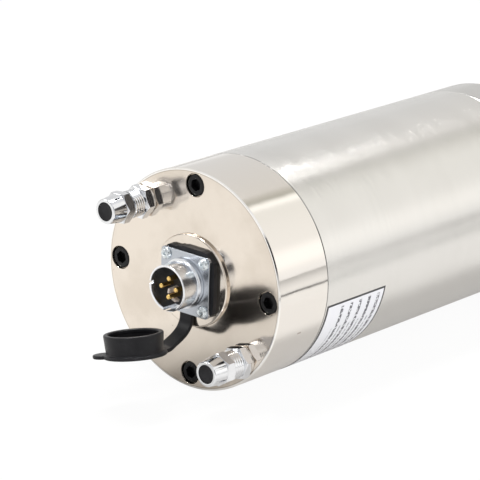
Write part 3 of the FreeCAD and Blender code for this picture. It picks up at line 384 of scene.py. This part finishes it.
# Rear cover: a turned cup with a raised pad in the middle, polished and plated all over. The plating is
# a warm nickel colour, slightly wavy, with faint wipe marks, a few specks and one small scratch.
face_edge = (-0.2556, -0.2552)
rim_low, rim_high = 0.0487, 0.0490
scratch_x, scratch_z = (-0.2402, -0.2377), (-0.0170, -0.0162)
plating, shade, shader = finish("bright_plating", (0.86, 0.79, 0.71), Metallic=1.0, Roughness=0.12)
point, x, y, z = shade.place()
stains = shade.noise(point, 34.0, 5.0, 0.6)
wipes = shade.noise(shade.point(x * 120.0, y * 55.0, z * 160.0), 1.0, 3.0, 0.6)
specks = shade.noise(point, 520.0, 1.0, 0.4).between(0.79, 0.81)
face = 1 - x.between(*face_edge)
cloudy = shade.mix(stains.between(0.40, 0.72), (0.835, 0.76, 0.675, 1), (0.735, 0.66, 0.575, 1))
tone = shade.mix(face, (0.875, 0.835, 0.785, 1), cloudy)
tone = shade.mix(specks * face * 0.5, tone, (0.30, 0.25, 0.20, 1))
tone = shade.mix(x.band(*joint, 0.00008) * 0.75, tone, (0.16, 0.155, 0.15, 1))
radius = shade.from_axis(y, z)
# Painted shade and highlight: a thin dark ring round the face's rim, and a bright ring outside it.
tone = shade.mix(radius.band(rim_low, rim_high, 0.0001) * face * 0.5, tone, (0.22, 0.20, 0.17, 1))
tone = shade.mix(radius.between(rim_high, 0.0491) * face, tone, (0.98, 0.96, 0.93, 1))
scratch = x.band(*scratch_x, 0.0003) * z.band(*scratch_z, 0.0001) * (1 - y.between(-0.04, 0.0))
tone = shade.mix(scratch * 0.55, tone, (0.40, 0.30, 0.24, 1))
feed(shade, shader, bump=shade.noise(point, 45.0, 2.0), height=0.00009,
     Base_Color=tone, Roughness=wipes * 0.05 + stains * 0.06 + face * 0.03 + 0.03)
dress(plating, "rear_cover")

# Cover screws: alloy steel cap screws, blackened in hot oxide and left oily. Each sits in a
# counterbore, its head just under the face.
black_oxide, shade, shader = finish("black_oxide", (0.016, 0.016, 0.018), Metallic=0.55, Roughness=0.38)
point, *_ = shade.place()
wear = shade.noise(point, 900.0, 4.0, 0.6)
feed(shade, shader, bump=wear, height=0.00002,
     Base_Color=shade.mix(wear.between(0.5, 0.8), (0.010, 0.010, 0.011, 1), (0.035, 0.035, 0.037, 1)),
     Roughness=wear * 0.25 + 0.24)
dress(black_oxide, "front_cover_screws", "bearing_cap_screws")


# Hose fittings: turned from hexagon brass bar and bright plated, with an M10 thread for the cap nut and a
# thicker threaded shoulder behind it. Each is screwed into the cover, with a washer under its hexagon.
pad_height = 0.0015
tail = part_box("rear_cover")[0][0] + pad_height
port_circle = 0.042
port_place = port_circle * math.sqrt(0.5)
fitting_flats = 0.0135
washer_bore, washer_r = 0.0048, 0.0066
nut_root, nut_crest, nut_pitch = 0.00443, 0.00497, 0.001
shoulder_root, shoulder_crest, shoulder_pitch = 0.0057, 0.0062, 0.0013


def start(shape, **sizes):
    """Adds a primitive, with nothing else selected, and opens it for shaping."""
    if bpy.context.object is not None and bpy.context.object.mode == "EDIT":
        bpy.ops.object.mode_set(mode="OBJECT")
    bpy.ops.object.select_all(action="DESELECT")
    getattr(bpy.ops.mesh, "primitive_" + shape + "_add")(**sizes)
    bpy.ops.object.transform_apply(location=True, rotation=True, scale=True)
    bpy.ops.object.mode_set(mode="EDIT")
    bpy.ops.mesh.select_all(action="DESELECT")
    return bpy.context.object


def pick(piece, test, kind="faces"):
    """Selects the faces or points of the open piece that pass the test."""
    bpy.ops.mesh.select_mode(type="FACE" if kind == "faces" else "VERT")
    bpy.ops.mesh.select_all(action="DESELECT")
    mesh = bmesh.from_edit_mesh(piece.data)
    for part in getattr(mesh, kind):
        place = part.calc_center_median() if kind == "faces" else part.co
        part.select_set(bool(test(place, part.normal)))
    mesh.select_flush_mode()
    bmesh.update_edit_mesh(piece.data)


def apply(piece, kind, **settings):
    """Adds a modifier to the piece and applies it."""
    if bpy.context.object is not None and bpy.context.object.mode == "EDIT":
        bpy.ops.object.mode_set(mode="OBJECT")
    bpy.ops.object.select_all(action="DESELECT")
    piece.select_set(True)
    bpy.context.view_layer.objects.active = piece
    step = piece.modifiers.new(kind.lower(), kind)
    for name, value in settings.items():
        setattr(step, name, value)
    bpy.ops.object.modifier_apply(modifier=step.name)
    return piece


def turned(corners, y=0.0, z=0.0, sides=96):
    """Turned piece: a ring of edges drawn out from corner to corner, given as (x, radius) in metres."""
    (x, radius), *rest = corners
    piece = start("circle", vertices=sides, radius=radius, location=(x, y, z), rotation=(0, math.pi / 2, 0))
    bpy.ops.mesh.select_mode(type="EDGE")
    bpy.ops.mesh.select_all(action="SELECT")
    for next_x, next_radius in rest:
        bpy.ops.mesh.extrude_region_move(TRANSFORM_OT_translate={"value": (next_x - x, 0, 0)})
        grow = next_radius / radius
        bpy.ops.transform.resize(value=(1, grow, grow), center_override=(next_x, y, z))
        x, radius = next_x, next_radius
    bpy.ops.mesh.select_all(action="SELECT")
    bpy.ops.mesh.remove_doubles(threshold=0.000002)
    bpy.ops.mesh.select_mode(type="EDGE")
    bpy.ops.mesh.select_all(action="DESELECT")
    bpy.ops.mesh.select_non_manifold()
    bpy.ops.mesh.edge_face_add()
    bpy.ops.mesh.select_all(action="SELECT")
    bpy.ops.mesh.normals_make_consistent(inside=False)
    bpy.ops.object.mode_set(mode="OBJECT")
    return piece


def soften(piece, width, segments=2, angle=35.0):
    """Breaks the piece's sharp edges and smooths the rest."""
    apply(piece, "BEVEL", width=width, segments=segments, limit_method="ANGLE",
          angle_limit=math.radians(angle))
    bpy.ops.object.shade_smooth_by_angle(angle=math.radians(angle))
    return apply(piece, "WEIGHTED_NORMAL", keep_sharp=True)


def cut(piece, tool, operation="DIFFERENCE"):
    """Cuts the piece with the tool, which is used up."""
    apply(piece, "BOOLEAN", operation=operation, object=tool, solver="EXACT")
    bpy.data.objects.remove(tool)
    return piece


def join(first, *others):
    """Joins the pieces to the first one."""
    bpy.ops.object.select_all(action="DESELECT")
    for piece in (first, *others):
        piece.select_set(True)
    bpy.context.view_layer.objects.active = first
    bpy.ops.object.join()
    return first


def settle(piece, name, material, slot, body, *replaced):
    """Names the finished piece, gives it its material and hands it to its body."""
    piece.name = name
    piece.data.name = name
    piece.data.materials.clear()
    piece.data.materials.append(material)
    if replaced:
        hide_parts(*replaced)
    if body:
        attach(piece, body)
    return piece


def hexagon(x_low, x_high, flats, turn, y, z):
    """Hexagon with its corners turned away at both ends, as on a bolt."""
    corner = flats / math.sqrt(3)
    piece = start("cylinder", vertices=6, radius=corner, depth=x_high - x_low,
                  location=((x_low + x_high) / 2, y, z), rotation=(math.pi / 2, turn, math.pi / 2))
    end_r = flats / 2 * 0.97
    slope = (corner - end_r) * math.tan(math.radians(30))
    barrel = turned([(x_low, end_r), (x_low + slope, corner * 1.001),
                     (x_high - slope, corner * 1.001), (x_high, end_r)], y, z)
    return cut(piece, barrel, "INTERSECT")


def thread(x_low, x_high, root, crest, pitch, y, z, steps=36):
    """Rod with a screw thread: one V wound round the axis, then cut square at both ends."""
    middle = x_low - pitch
    piece = start("plane", size=pitch, location=(middle, y, z + root), rotation=(math.pi / 2, 0, 0))
    pick(piece, lambda p, n: p.z > z + root, "verts")
    bpy.ops.mesh.delete(type="VERT")
    bpy.ops.mesh.select_all(action="SELECT")
    bpy.ops.transform.translate(value=(0, 0, pitch / 2))
    bpy.ops.mesh.subdivide(number_cuts=3)
    pick(piece, lambda p, n: abs(p.x - middle) < pitch * 0.3, "verts")
    bpy.ops.transform.translate(value=(0, 0, crest - root))
    bpy.ops.transform.resize(value=(0.25, 1, 1), center_override=(middle, y, z + crest))
    bpy.ops.object.mode_set(mode="OBJECT")
    bpy.context.scene.cursor.location = (0, y, z)
    bpy.ops.object.origin_set(type="ORIGIN_CURSOR")
    turns = math.ceil((x_high - x_low) / pitch) + 2
    apply(piece, "SCREW", axis="X", screw_offset=pitch, iterations=turns, steps=steps,
          render_steps=steps, use_merge_vertices=True, merge_threshold=0.000004)
    bpy.ops.object.transform_apply(location=True, rotation=True, scale=True)
    bpy.ops.object.mode_set(mode="EDIT")
    bpy.ops.mesh.select_all(action="SELECT")
    bpy.ops.mesh.remove_doubles(threshold=0.00002)
    for end, outwards in ((x_low, -1), (x_high, 1)):
        bpy.ops.mesh.select_all(action="SELECT")
        bpy.ops.mesh.bisect(plane_co=(end, y, z), plane_no=(outwards, 0, 0),
                            clear_outer=True, use_fill=True)
    bpy.ops.mesh.select_all(action="SELECT")
    bpy.ops.mesh.normals_make_consistent(inside=False)
    bpy.ops.object.mode_set(mode="OBJECT")
    return piece


bright, shade, shader = finish("bright_fitting", (0.86, 0.87, 0.89), Metallic=1.0, Roughness=0.08)
point, x, y, z = shade.place()
turned_lines = shade.noise(shade.point(x * 4000.0, y * 60.0, z * 60.0), 1.0, 2.0, 0.5)
film = shade.noise(point, 260.0, 3.0, 0.6)
feed(shade, shader, bump=turned_lines, height=0.000006,
     Roughness=turned_lines * 0.06 + film * 0.06 + 0.03,
     Base_Color=shade.mix(film, (0.80, 0.81, 0.83, 1), (0.90, 0.91, 0.93, 1)))

for name, sign, corner, travel in (("upper", 1, 6.0, 0.001), ("lower", -1, 48.0, 0.0)):
    y0 = z0 = port_place * sign
    hex_low, hex_high = tail - 0.0050, tail - 0.0006
    turn_by = math.radians(90.0 - corner)
    hexagonal = soften(hexagon(hex_low, hex_high, fitting_flats, turn_by, y0, z0), 0.00012)
    washer = soften(turned([
        (hex_high, washer_bore), (hex_high, washer_r), (tail, washer_r), (tail, washer_bore),
        (hex_high, washer_bore)], y0, z0, 64), 0.0001)
    stem = soften(turned([
        (tail + 0.0100, 0.0048), (tail - 0.0069, 0.0045), (tail - 0.0069, 0.0044),
        (tail - 0.0174, 0.0044), (tail - 0.0174, 0.00245), (tail - 0.0208, 0.00205)], y0, z0, 48), 0.0001)
    nut_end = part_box(name + "_hose_nut")[1][0] + travel
    screwed = thread(tail - 0.0172, nut_end + 0.0004, nut_root, nut_crest, nut_pitch, y0, z0)
    shoulder = thread(nut_end + 0.0003, hex_low, shoulder_root, shoulder_crest, shoulder_pitch, y0, z0, 64)
    settle(join(hexagonal, washer, stem, screwed, shoulder), name + "_fitting_detail", bright,
           "fitting_plating", "casing", name + "_hose_fitting")

# Cap nuts of the fittings: turned from hexagon bar, with a long nose that tapers to a round rim and has a
# short groove over each corner. Each presses the hose on the nipple and turns on the fitting's thread.
nut_flats, nut_bore = 0.013, 0.00505
groove_r, groove_size = 0.0062, (0.0038, 0.0011, 0.0009)
for name, sign, corner in (("upper", 1, 57.0), ("lower", -1, 27.0)):
    (tip, _, _), (end, _, _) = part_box(name + "_hose_nut")
    y0 = z0 = port_place * sign
    hex_low = tip + 0.0072
    nose = turned([
        (tip, 0.0042), (tip, 0.0053), (tip + 0.0003, 0.00565), (hex_low, 0.00640), (hex_low, nut_bore),
        (tip + 0.0030, nut_bore), (tip + 0.0030, 0.0042), (tip, 0.0042)], y0, z0, 96)
    for k in range(6):
        angle = math.radians(corner + 60 * k)
        middle = (tip + 0.0049, y0 + groove_r * math.cos(angle), z0 + groove_r * math.sin(angle))
        cut(nose, start("cube", size=1.0, location=middle, scale=groove_size, rotation=(angle, 0, 0)))
    flats = hexagon(hex_low, end, nut_flats, math.radians(90.0 - corner), y0, z0)
    cut(flats, start("cylinder", vertices=64, radius=nut_bore, depth=0.03, location=(end, y0, z0),
                     rotation=(0, math.pi / 2, 0)))
    settle(join(soften(nose, 0.00008), soften(flats, 0.00012)), name + "_nut_detail", bright,
           "fitting_plating", name + "_nut", name + "_hose_nut")

# Screws of the rear cover: socket heads with rounded rims, a little smaller than their counterbores. The
# edge of each counterbore is broken to a narrow bright ring.
(head_face, _, _), (screw_end, _, _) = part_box("rear_cover_screws")
screw_circle, head_r, shank_r = 0.0431, 0.0048, 0.0030
key_flats = 0.005
for number in range(4):
    angle = number * math.pi / 2
    y0, z0 = screw_circle * math.cos(angle), screw_circle * math.sin(angle)
    screw = turned([
        (head_face, 0.0036), (head_face, 0.0040), (head_face + 0.0002, 0.0045),
        (head_face + 0.0007, head_r), (head_face + 0.0060, head_r), (head_face + 0.0060, shank_r),
        (screw_end, shank_r)], y0, z0, 64)
    cut(screw, start("cylinder", vertices=6, radius=key_flats / 2 / math.cos(math.pi / 6), depth=0.006,
                     location=(head_face, y0, z0),
                     rotation=(math.pi / 2, 0.3 + number * 0.7, math.pi / 2)))
    settle(soften(screw, 0.00008), "cover_screw_" + str(number + 1), black_oxide, "black_screws", "casing",
           "rear_cover_screws")
    edge = turned([
        (tail - 0.00002, 0.00560), (tail + 0.00035, 0.00532), (tail + 0.0030, 0.00530),
        (tail + 0.0030, 0.00537), (tail + 0.0001, 0.00562), (tail - 0.00002, 0.00560)], y0, z0, 64)
    settle(soften(edge, 0.00001), "counterbore_edge_" + str(number + 1), plating, "bright_plating",
           "casing")

# Blanking plugs: soft rubber buttons, pressed into the cap nuts so that no dirt gets in. Each has a
# shallow dish and a low rim, as it comes from its mould.
rubber, shade, shader = finish("black_rubber", (0.018, 0.018, 0.020), Roughness=0.5,
                               Specular_IOR_Level=0.25)
point, *_ = shade.place()
grain = shade.noise(point, 1800.0, 4.0, 0.6)
dust = shade.noise(point, 120.0, 4.0, 0.6)
feed(shade, shader, bump=grain, height=0.00003,
     Base_Color=shade.mix(dust.between(0.45, 0.8), (0.009, 0.009, 0.011, 1), (0.021, 0.021, 0.024, 1)),
     Roughness=grain * 0.2 + dust * 0.15 + 0.24)
dress(rubber, "jacket_o_rings", "port_seals")
for name, sign in (("upper", 1), ("lower", -1)):
    (low, _, _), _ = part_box(name + "_hose_plug")
    y0 = z0 = port_place * sign
    plug = turned([
        (low + 0.00025, 0.0012), (low + 0.00018, 0.0030), (low, 0.0035), (low, 0.0038),
        (low + 0.0003, 0.0041), (low + 0.0033, 0.0041), (low + 0.0047, 0.00485), (low + 0.0055, 0.00485),
        (low + 0.0055, 0.0028), (low + 0.0022, 0.0028)], y0, z0, 64)
    settle(soften(plug, 0.00012), name + "_plug_detail", rubber, "rubber", name + "_plug",
           name + "_hose_plug")

# Connector: its flange and shell are one zinc casting, bright plated. The mouth has a wide keyway at the
# bottom and a small slot at the right, and a shallow groove runs round the shell near the flange.
gasket_thick = 0.0022
flange_side, flange_thick = 0.028, 0.0015
shell_reach, shell_r, bore_r = 0.0114, 0.0104, 0.0093
pad = tail - pad_height
seat = pad - gasket_thick
head = seat - flange_thick
mouth = head - shell_reach


def round_corners(box, radius):
    """Rounds the four edges of the open box that run along the axis."""
    bpy.ops.mesh.select_mode(type="EDGE")
    mesh = bmesh.from_edit_mesh(box.data)
    for edge in mesh.edges:
        edge.select_set(abs((edge.verts[0].co - edge.verts[1].co).x) > 0.001)
    bmesh.update_edit_mesh(box.data)
    bpy.ops.mesh.bevel(offset=radius, segments=8, affect="EDGES")


shell_plating, shade, shader = finish("shell_plating", (0.86, 0.88, 0.91), Metallic=1.0, Roughness=0.3)
_, x, y, z = shade.place()
flow = shade.noise(shade.point(x * 260.0, y * 120.0, z * 120.0), 1.0, 3.0, 0.6)
# Painted shade: the flange and the first 0.4 mm of barrel in front of it are painted darker and bluer.
plate = x.between(seat - 0.0019, seat - 0.0016)
tone = shade.mix(flow, (0.84, 0.86, 0.89, 1), (0.97, 0.98, 1.0, 1))
feed(shade, shader, bump=flow, height=0.00005, Roughness=flow * 0.14 + 0.13 + plate * 0.03,
     Base_Color=shade.mix(plate, tone, (0.50, 0.53, 0.575, 1)))
flange = start("cube", size=1.0, location=(seat - flange_thick / 2, 0, 0),
               scale=(flange_thick, flange_side, flange_side))
round_corners(flange, 0.002)
soften(flange, 0.0002, 3)

barrel = turned([
    (mouth, 0.00955), (mouth, 0.01025), (mouth + 0.0002, shell_r), (mouth + 0.0083, shell_r),
    (mouth + 0.0086, 0.0101), (mouth + 0.0092, 0.0101), (mouth + 0.0094, 0.0112), (head, 0.0112),
    (seat, shell_r), (tail + 0.0055, shell_r), (tail + 0.0055, bore_r), (mouth + 0.0002, bore_r),
    (mouth, 0.00955)], sides=128)
keyway, side_slot, slot_deep = (-103, 0.0076, 0.0079, 0.0088), (3, 0.0015, 0.0016, 0.0102), 0.0024
for angle, width, depth, middle in (keyway, side_slot):
    y0, z0 = middle * math.cos(math.radians(angle)), middle * math.sin(math.radians(angle))
    cut(barrel, start("cube", size=1.0, location=(mouth + depth / 2 - 0.0001, y0, z0),
                      scale=(depth + 0.0002, slot_deep, width),
                      rotation=(math.radians(angle), 0, 0)))
soften(barrel, 0.0001)
settle(join(flange, barrel), "connector_body_detail", shell_plating, "connector_plating", "casing",
       "connector_shell")

# Small screws of the connector: pan heads with a cross recess, zinc plated with a faint blue cast. They
# go through the corners of the flange and the gasket into the cover.
zinc, shade, shader = finish("zinc_plate", (0.66, 0.68, 0.71), Metallic=1.0, Roughness=0.28)
point, *_ = shade.place()
grain = shade.noise(point, 1500.0, 3.0, 0.6)
feed(shade, shader, bump=grain, height=0.00002, Roughness=grain * 0.25 + 0.15,
     Base_Color=shade.mix(grain, (0.68, 0.73, 0.76, 1), (0.88, 0.93, 0.95, 1)))
screw_place, pan_r = 0.0109, 0.0027
screw = turned([
    (head - 0.0017, 0.0007), (head - 0.0016, 0.0014), (head - 0.0012, 0.0022), (head - 0.0005, pan_r),
    (head, pan_r), (head, 0.0015), (pad + 0.0050, 0.0015)], screw_place, screw_place, 48)
for half_turn in (0.35, 0.35 + math.pi / 2):
    cutter = start("cube", size=1.0, location=(head - 0.0014, screw_place, screw_place),
                   scale=(0.0018, 0.0028, 0.00065), rotation=(half_turn, 0, 0))
    pick(cutter, lambda p, n: n.x > 0.9)
    bpy.ops.transform.resize(value=(1, 0.45, 0.45), center_override=(0, screw_place, screw_place))
    cut(screw, cutter)
soften(screw, 0.00006)
for number, side_y, side_z, twist in (
        (1, 1, 1, 0.0), (2, -1, 1, 0.5), (3, -1, -1, 1.1), (4, 1, -1, 0.8)):
    copy = screw.copy()
    copy.data = screw.data.copy()
    bpy.context.scene.collection.objects.link(copy)
    copy.data.transform(Matrix.Translation((0, screw_place * side_y, screw_place * side_z))
                        @ Matrix.Rotation(twist, 4, "X")
                        @ Matrix.Translation((0, -screw_place, -screw_place)))
    settle(copy, "connector_screw_" + str(number), zinc, "zinc_screws", "casing", "connector_screws")
bpy.data.objects.remove(screw)

# Black moulded insert that holds the pins. A pale key near its middle fits a slot in the plug, so that the
# plug goes in one way only, and a small pale wedge stands at the wide keyway.
moulded, shade, shader = finish("black_moulding", (0.012, 0.012, 0.013), Roughness=0.45)
point, *_ = shade.place()
grain = shade.noise(point, 2500.0, 2.0, 0.5)
feed(shade, shader, bump=grain, height=0.00002, Roughness=grain * 0.2 + 0.35,
     Base_Color=shade.mix(grain, (0.008, 0.008, 0.009, 1), (0.018, 0.018, 0.019, 1)))
dress(moulded, "connector_insert")
pale, shade, shader = finish("pale_moulding", (0.70, 0.62, 0.57), Roughness=0.45)
point, *_ = shade.place()
grain = shade.noise(point, 1500.0, 2.0, 0.5)
feed(shade, shader, bump=grain, height=0.00002, Roughness=grain * 0.2 + 0.3,
     Base_Color=shade.mix(grain, (0.66, 0.58, 0.53, 1), (0.78, 0.70, 0.65, 1)))
insert_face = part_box("connector_insert")[0][0]
for name, reach, deep, wide, y0, z0, lean in (
        ("light_key", 0.0055, 0.0013, 0.0027, 0.0012, -0.0020, 0.25),
        ("light_wedge", 0.0024, 0.0014, 0.0030, 0.0010, -0.0068, -1.2)):
    key = start("cube", size=1.0, location=(insert_face - reach / 2 + 0.0002, y0, z0),
                scale=(reach + 0.0004, deep, wide), rotation=(lean, 0, 0))
    pick(key, lambda p, n: n.x < -0.9)
    bpy.ops.transform.resize(value=(1, 0.8, 0.8), center_override=(0, y0, z0))
    bpy.ops.object.mode_set(mode="OBJECT")
    settle(soften(key, 0.0002, 3), name, pale, "", "casing")

# Pins: turned brass, gilt, with round tips. They are pressed into the insert, and the plug's sockets
# slide over them.
gilt, shade, shader = finish("gilt", (0.86, 0.60, 0.22), Metallic=1.0, Roughness=0.16)
point, *_ = shade.place()
grain = shade.noise(point, 1200.0, 2.0, 0.5)
feed(shade, shader, Roughness=grain * 0.16 + 0.1,
     Base_Color=shade.mix(grain, (0.90, 0.64, 0.25, 1), (0.82, 0.54, 0.17, 1)))
dress(gilt, "connector_pins")

# Gasket: a soft rubber pad under the connector's flange. The screws press on it, so it bulges out past
# the flange along the top and the right, and it carries the strap of the dust cap.
gasket_side, gasket_edge = 0.029, 0.0139
gasket = start("cube", size=1.0, location=((seat + pad) / 2, 0, 0),
               scale=(gasket_thick, gasket_side, gasket_side))
round_corners(gasket, 0.0045)
for k in range(-7, 8):
    for normal in ((0, 1, 0), (0, 0, 1)):
        bpy.ops.mesh.select_all(action="SELECT")
        bpy.ops.mesh.bisect(plane_co=(0, k * 0.0014, k * 0.0014), plane_no=normal)
for bulge, swell in (
        (lambda p, n: p.z > gasket_edge, (0, 0, 0.0004)),
        (lambda p, n: p.z > gasket_edge and -0.011 < p.y < 0.007, (0, 0, 0.0005)),
        (lambda p, n: p.z > gasket_edge and -0.009 < p.y < 0.003, (0, 0, 0.0004)),
        (lambda p, n: p.y < -gasket_edge, (0, -0.0008, 0)),
        (lambda p, n: p.y < -gasket_edge and abs(p.z) < 0.008, (0, -0.0003, 0))):
    pick(gasket, bulge, "verts")
    bpy.ops.transform.translate(value=swell)
cut(gasket, start("cylinder", vertices=96, radius=0.01045, depth=0.006, location=(seat, 0, 0),
                  rotation=(0, math.pi / 2, 0)))
soften(gasket, 0.0005, 3, 40.0)
settle(gasket, "gasket_detail", rubber, "rubber", "casing", "connector_gasket")

# Strap: moulded in one with the gasket and the dust cap, 7 mm wide. It hangs from the gasket's lower edge
# in a soft curve.
strap_wide, strap_thick, strap_y = 0.0072, 0.0017, 0.0006
route = [Vector((a, strap_y, b)) for a, b in (
    (-0.2583, -0.0110), (-0.2583, -0.0150), (-0.2586, -0.0185), (-0.2604, -0.0216), (-0.2636, -0.0240),
    (-0.26885, -0.0263), (-0.2718, -0.0275), (-0.2754, -0.0275), (-0.2785, -0.0264), (-0.2810, -0.0254))]


def smooth_route(points, parts):
    """Points along a smooth line through the given ones."""
    line = []
    for k in range(len(points) - 1):
        a = points[max(k - 1, 0)]
        b, c = points[k], points[k + 1]
        d = points[min(k + 2, len(points) - 1)]
        for step in range(parts):
            t = step / parts
            line.append(0.5 * ((2 * b) + (c - a) * t + (2 * a - 5 * b + 4 * c - d) * t * t
                               + (3 * b - a - 3 * c + d) * t ** 3))
    return line + [points[-1]]


line = smooth_route(route, 4)
strap = start("plane", size=strap_wide, location=line[0])
bpy.ops.mesh.select_all(action="SELECT")
bpy.ops.transform.resize(value=(strap_thick / strap_wide, 1, 1), center_override=line[0])
heading = (line[1] - line[0]).normalized()
lean = math.atan2(-heading.x, -heading.z)
bpy.ops.transform.rotate(value=-lean, orient_axis="Y", center_override=line[0])
for here, after in zip(line, line[1:]):
    new_heading = (after - here).normalized()
    new_lean = math.atan2(-new_heading.x, -new_heading.z)
    bpy.ops.mesh.extrude_region_move(TRANSFORM_OT_translate={"value": after - here})
    bpy.ops.transform.rotate(value=-(new_lean - lean), orient_axis="Y", center_override=after)
    lean = new_lean
bpy.ops.mesh.select_all(action="SELECT")
bpy.ops.mesh.normals_make_consistent(inside=False)
bpy.ops.object.mode_set(mode="OBJECT")
soften(strap, 0.0005, 3, 50.0)
settle(strap, "strap_detail", rubber, "rubber", None)
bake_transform(strap)

# Dust cap: a soft rubber cup that presses over the connector's mouth. It hangs open on its strap, with
# its mouth up, and has a thin brim with a tab to pull it off by.
cap = turned([
    (0.0, 0.0100), (0.0, 0.01335), (-0.0003, 0.01395), (-0.0009, 0.0141), (-0.0015, 0.0139),
    (-0.0018, 0.0127), (-0.0026, 0.01245), (-0.0092, 0.01300), (-0.0098, 0.01305), (-0.0102, 0.0127),
    (-0.0102, 0.0113), (-0.0098, 0.0109), (-0.0086, 0.0109), (-0.0084, 0.0111), (-0.0032, 0.0109),
    (-0.0022, 0.0101), (-0.0020, 0.0060)], sides=128)
tab_out = 0.0133
tab = start("cylinder", vertices=48, radius=0.005, depth=0.0016, location=(-0.0009, tab_out, 0),
            rotation=(0, math.pi / 2, 0))
pick(tab, lambda p, n: p.y < tab_out - 0.0005, "verts")
bpy.ops.transform.translate(value=(0, -0.0035, 0))
bpy.ops.object.mode_set(mode="OBJECT")
soften(tab, 0.0005, 3)
soften(cap, 0.0002, 2, 40.0)
join(cap, tab)
cap.data.transform(Matrix.Rotation(math.radians(90), 4, "Y"))
settle(cap, "dust_cap_detail", rubber, "rubber", None)
cap_place = (Matrix.Translation((-0.2922, 0.0009, -0.0155)) @ Matrix.Rotation(math.radians(4.4), 4, "Y")
             @ Matrix.Rotation(math.radians(-11.8), 4, "X") @ Matrix.Translation((0, 0, -0.0102))
             @ Matrix.Rotation(math.radians(37.0), 4, "Z"))
cap.data.transform(cap_place)
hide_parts("dust_cap")
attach(cap, "dust_cap")

# Label: a thin white foil with a dark border and rows of short plain strokes, stuck round the lower right
# of the tube.
label_low, label_high = tail + 0.0333, tail + 0.0740
label_top, label_bottom = math.radians(9.2), math.radians(62.0)
label_r, foil_thick = 0.05004, 0.0001
border, border_turn = 0.0009, 0.018
row_pitch = 0.0063
label = start("plane", size=label_high - label_low, rotation=(math.pi / 2, 0, 0),
              location=((label_low + label_high) / 2, -label_r, 0))
bpy.ops.mesh.select_all(action="SELECT")
bpy.ops.transform.resize(value=(1, 1, 0), center_override=(label_low, -label_r, 0))
bpy.ops.mesh.remove_doubles(threshold=0.00001)
bpy.ops.mesh.select_all(action="SELECT")
bpy.ops.transform.rotate(value=-label_top, orient_axis="X", center_override=(0, 0, 0))
bpy.ops.mesh.spin(steps=40, angle=label_top - label_bottom, center=(0, 0, 0), axis=(1, 0, 0))
bpy.ops.object.mode_set(mode="OBJECT")
apply(label, "SOLIDIFY", thickness=foil_thick, offset=0.0)
bpy.ops.object.shade_smooth_by_angle(angle=math.radians(30))
foil, shade, shader = finish("label_foil", (0.80, 0.80, 0.79), Roughness=0.35)
point, x, y, z = shade.place()
turn_round = shade.maths("ARCTAN2", 0 - z, 0 - y)
inner = (x.band(label_low + border, label_high - border, 0.0001)
         * turn_round.band(label_top + border_turn, label_bottom - border_turn, 0.002))
row = shade.maths("PINGPONG", (x - label_low - 0.00805) * (1 / row_pitch), 0.5) * 2.0
small_rows = (1 - row).between(0.84, 0.90) * turn_round.between(0.42, 0.46) * 0.7
rows = shade.maths("MAXIMUM", row.between(0.66, 0.74), small_rows)
strokes = shade.noise(shade.point(x * 700.0, turn_round * 46.0, 0.0), 1.0, 1.0, 0.5).between(0.42, 0.47)
text = (turn_round.band(label_top + 0.05, label_bottom - 0.06, 0.008)
        * x.band(label_low + 0.0080, label_high - 0.0030, 0.0003))
printed = shade.mix(rows * strokes * text, (0.81, 0.82, 0.87, 1), (0.10, 0.10, 0.12, 1))
wear = shade.noise(point, 160.0, 4.0, 0.6)
feed(shade, shader, bump=wear, height=0.00003, Roughness=wear * 0.2 + 0.25,
     Base_Color=shade.mix(inner, (0.03, 0.03, 0.035, 1), printed))
settle(label, "label_plate", foil, "", "casing")
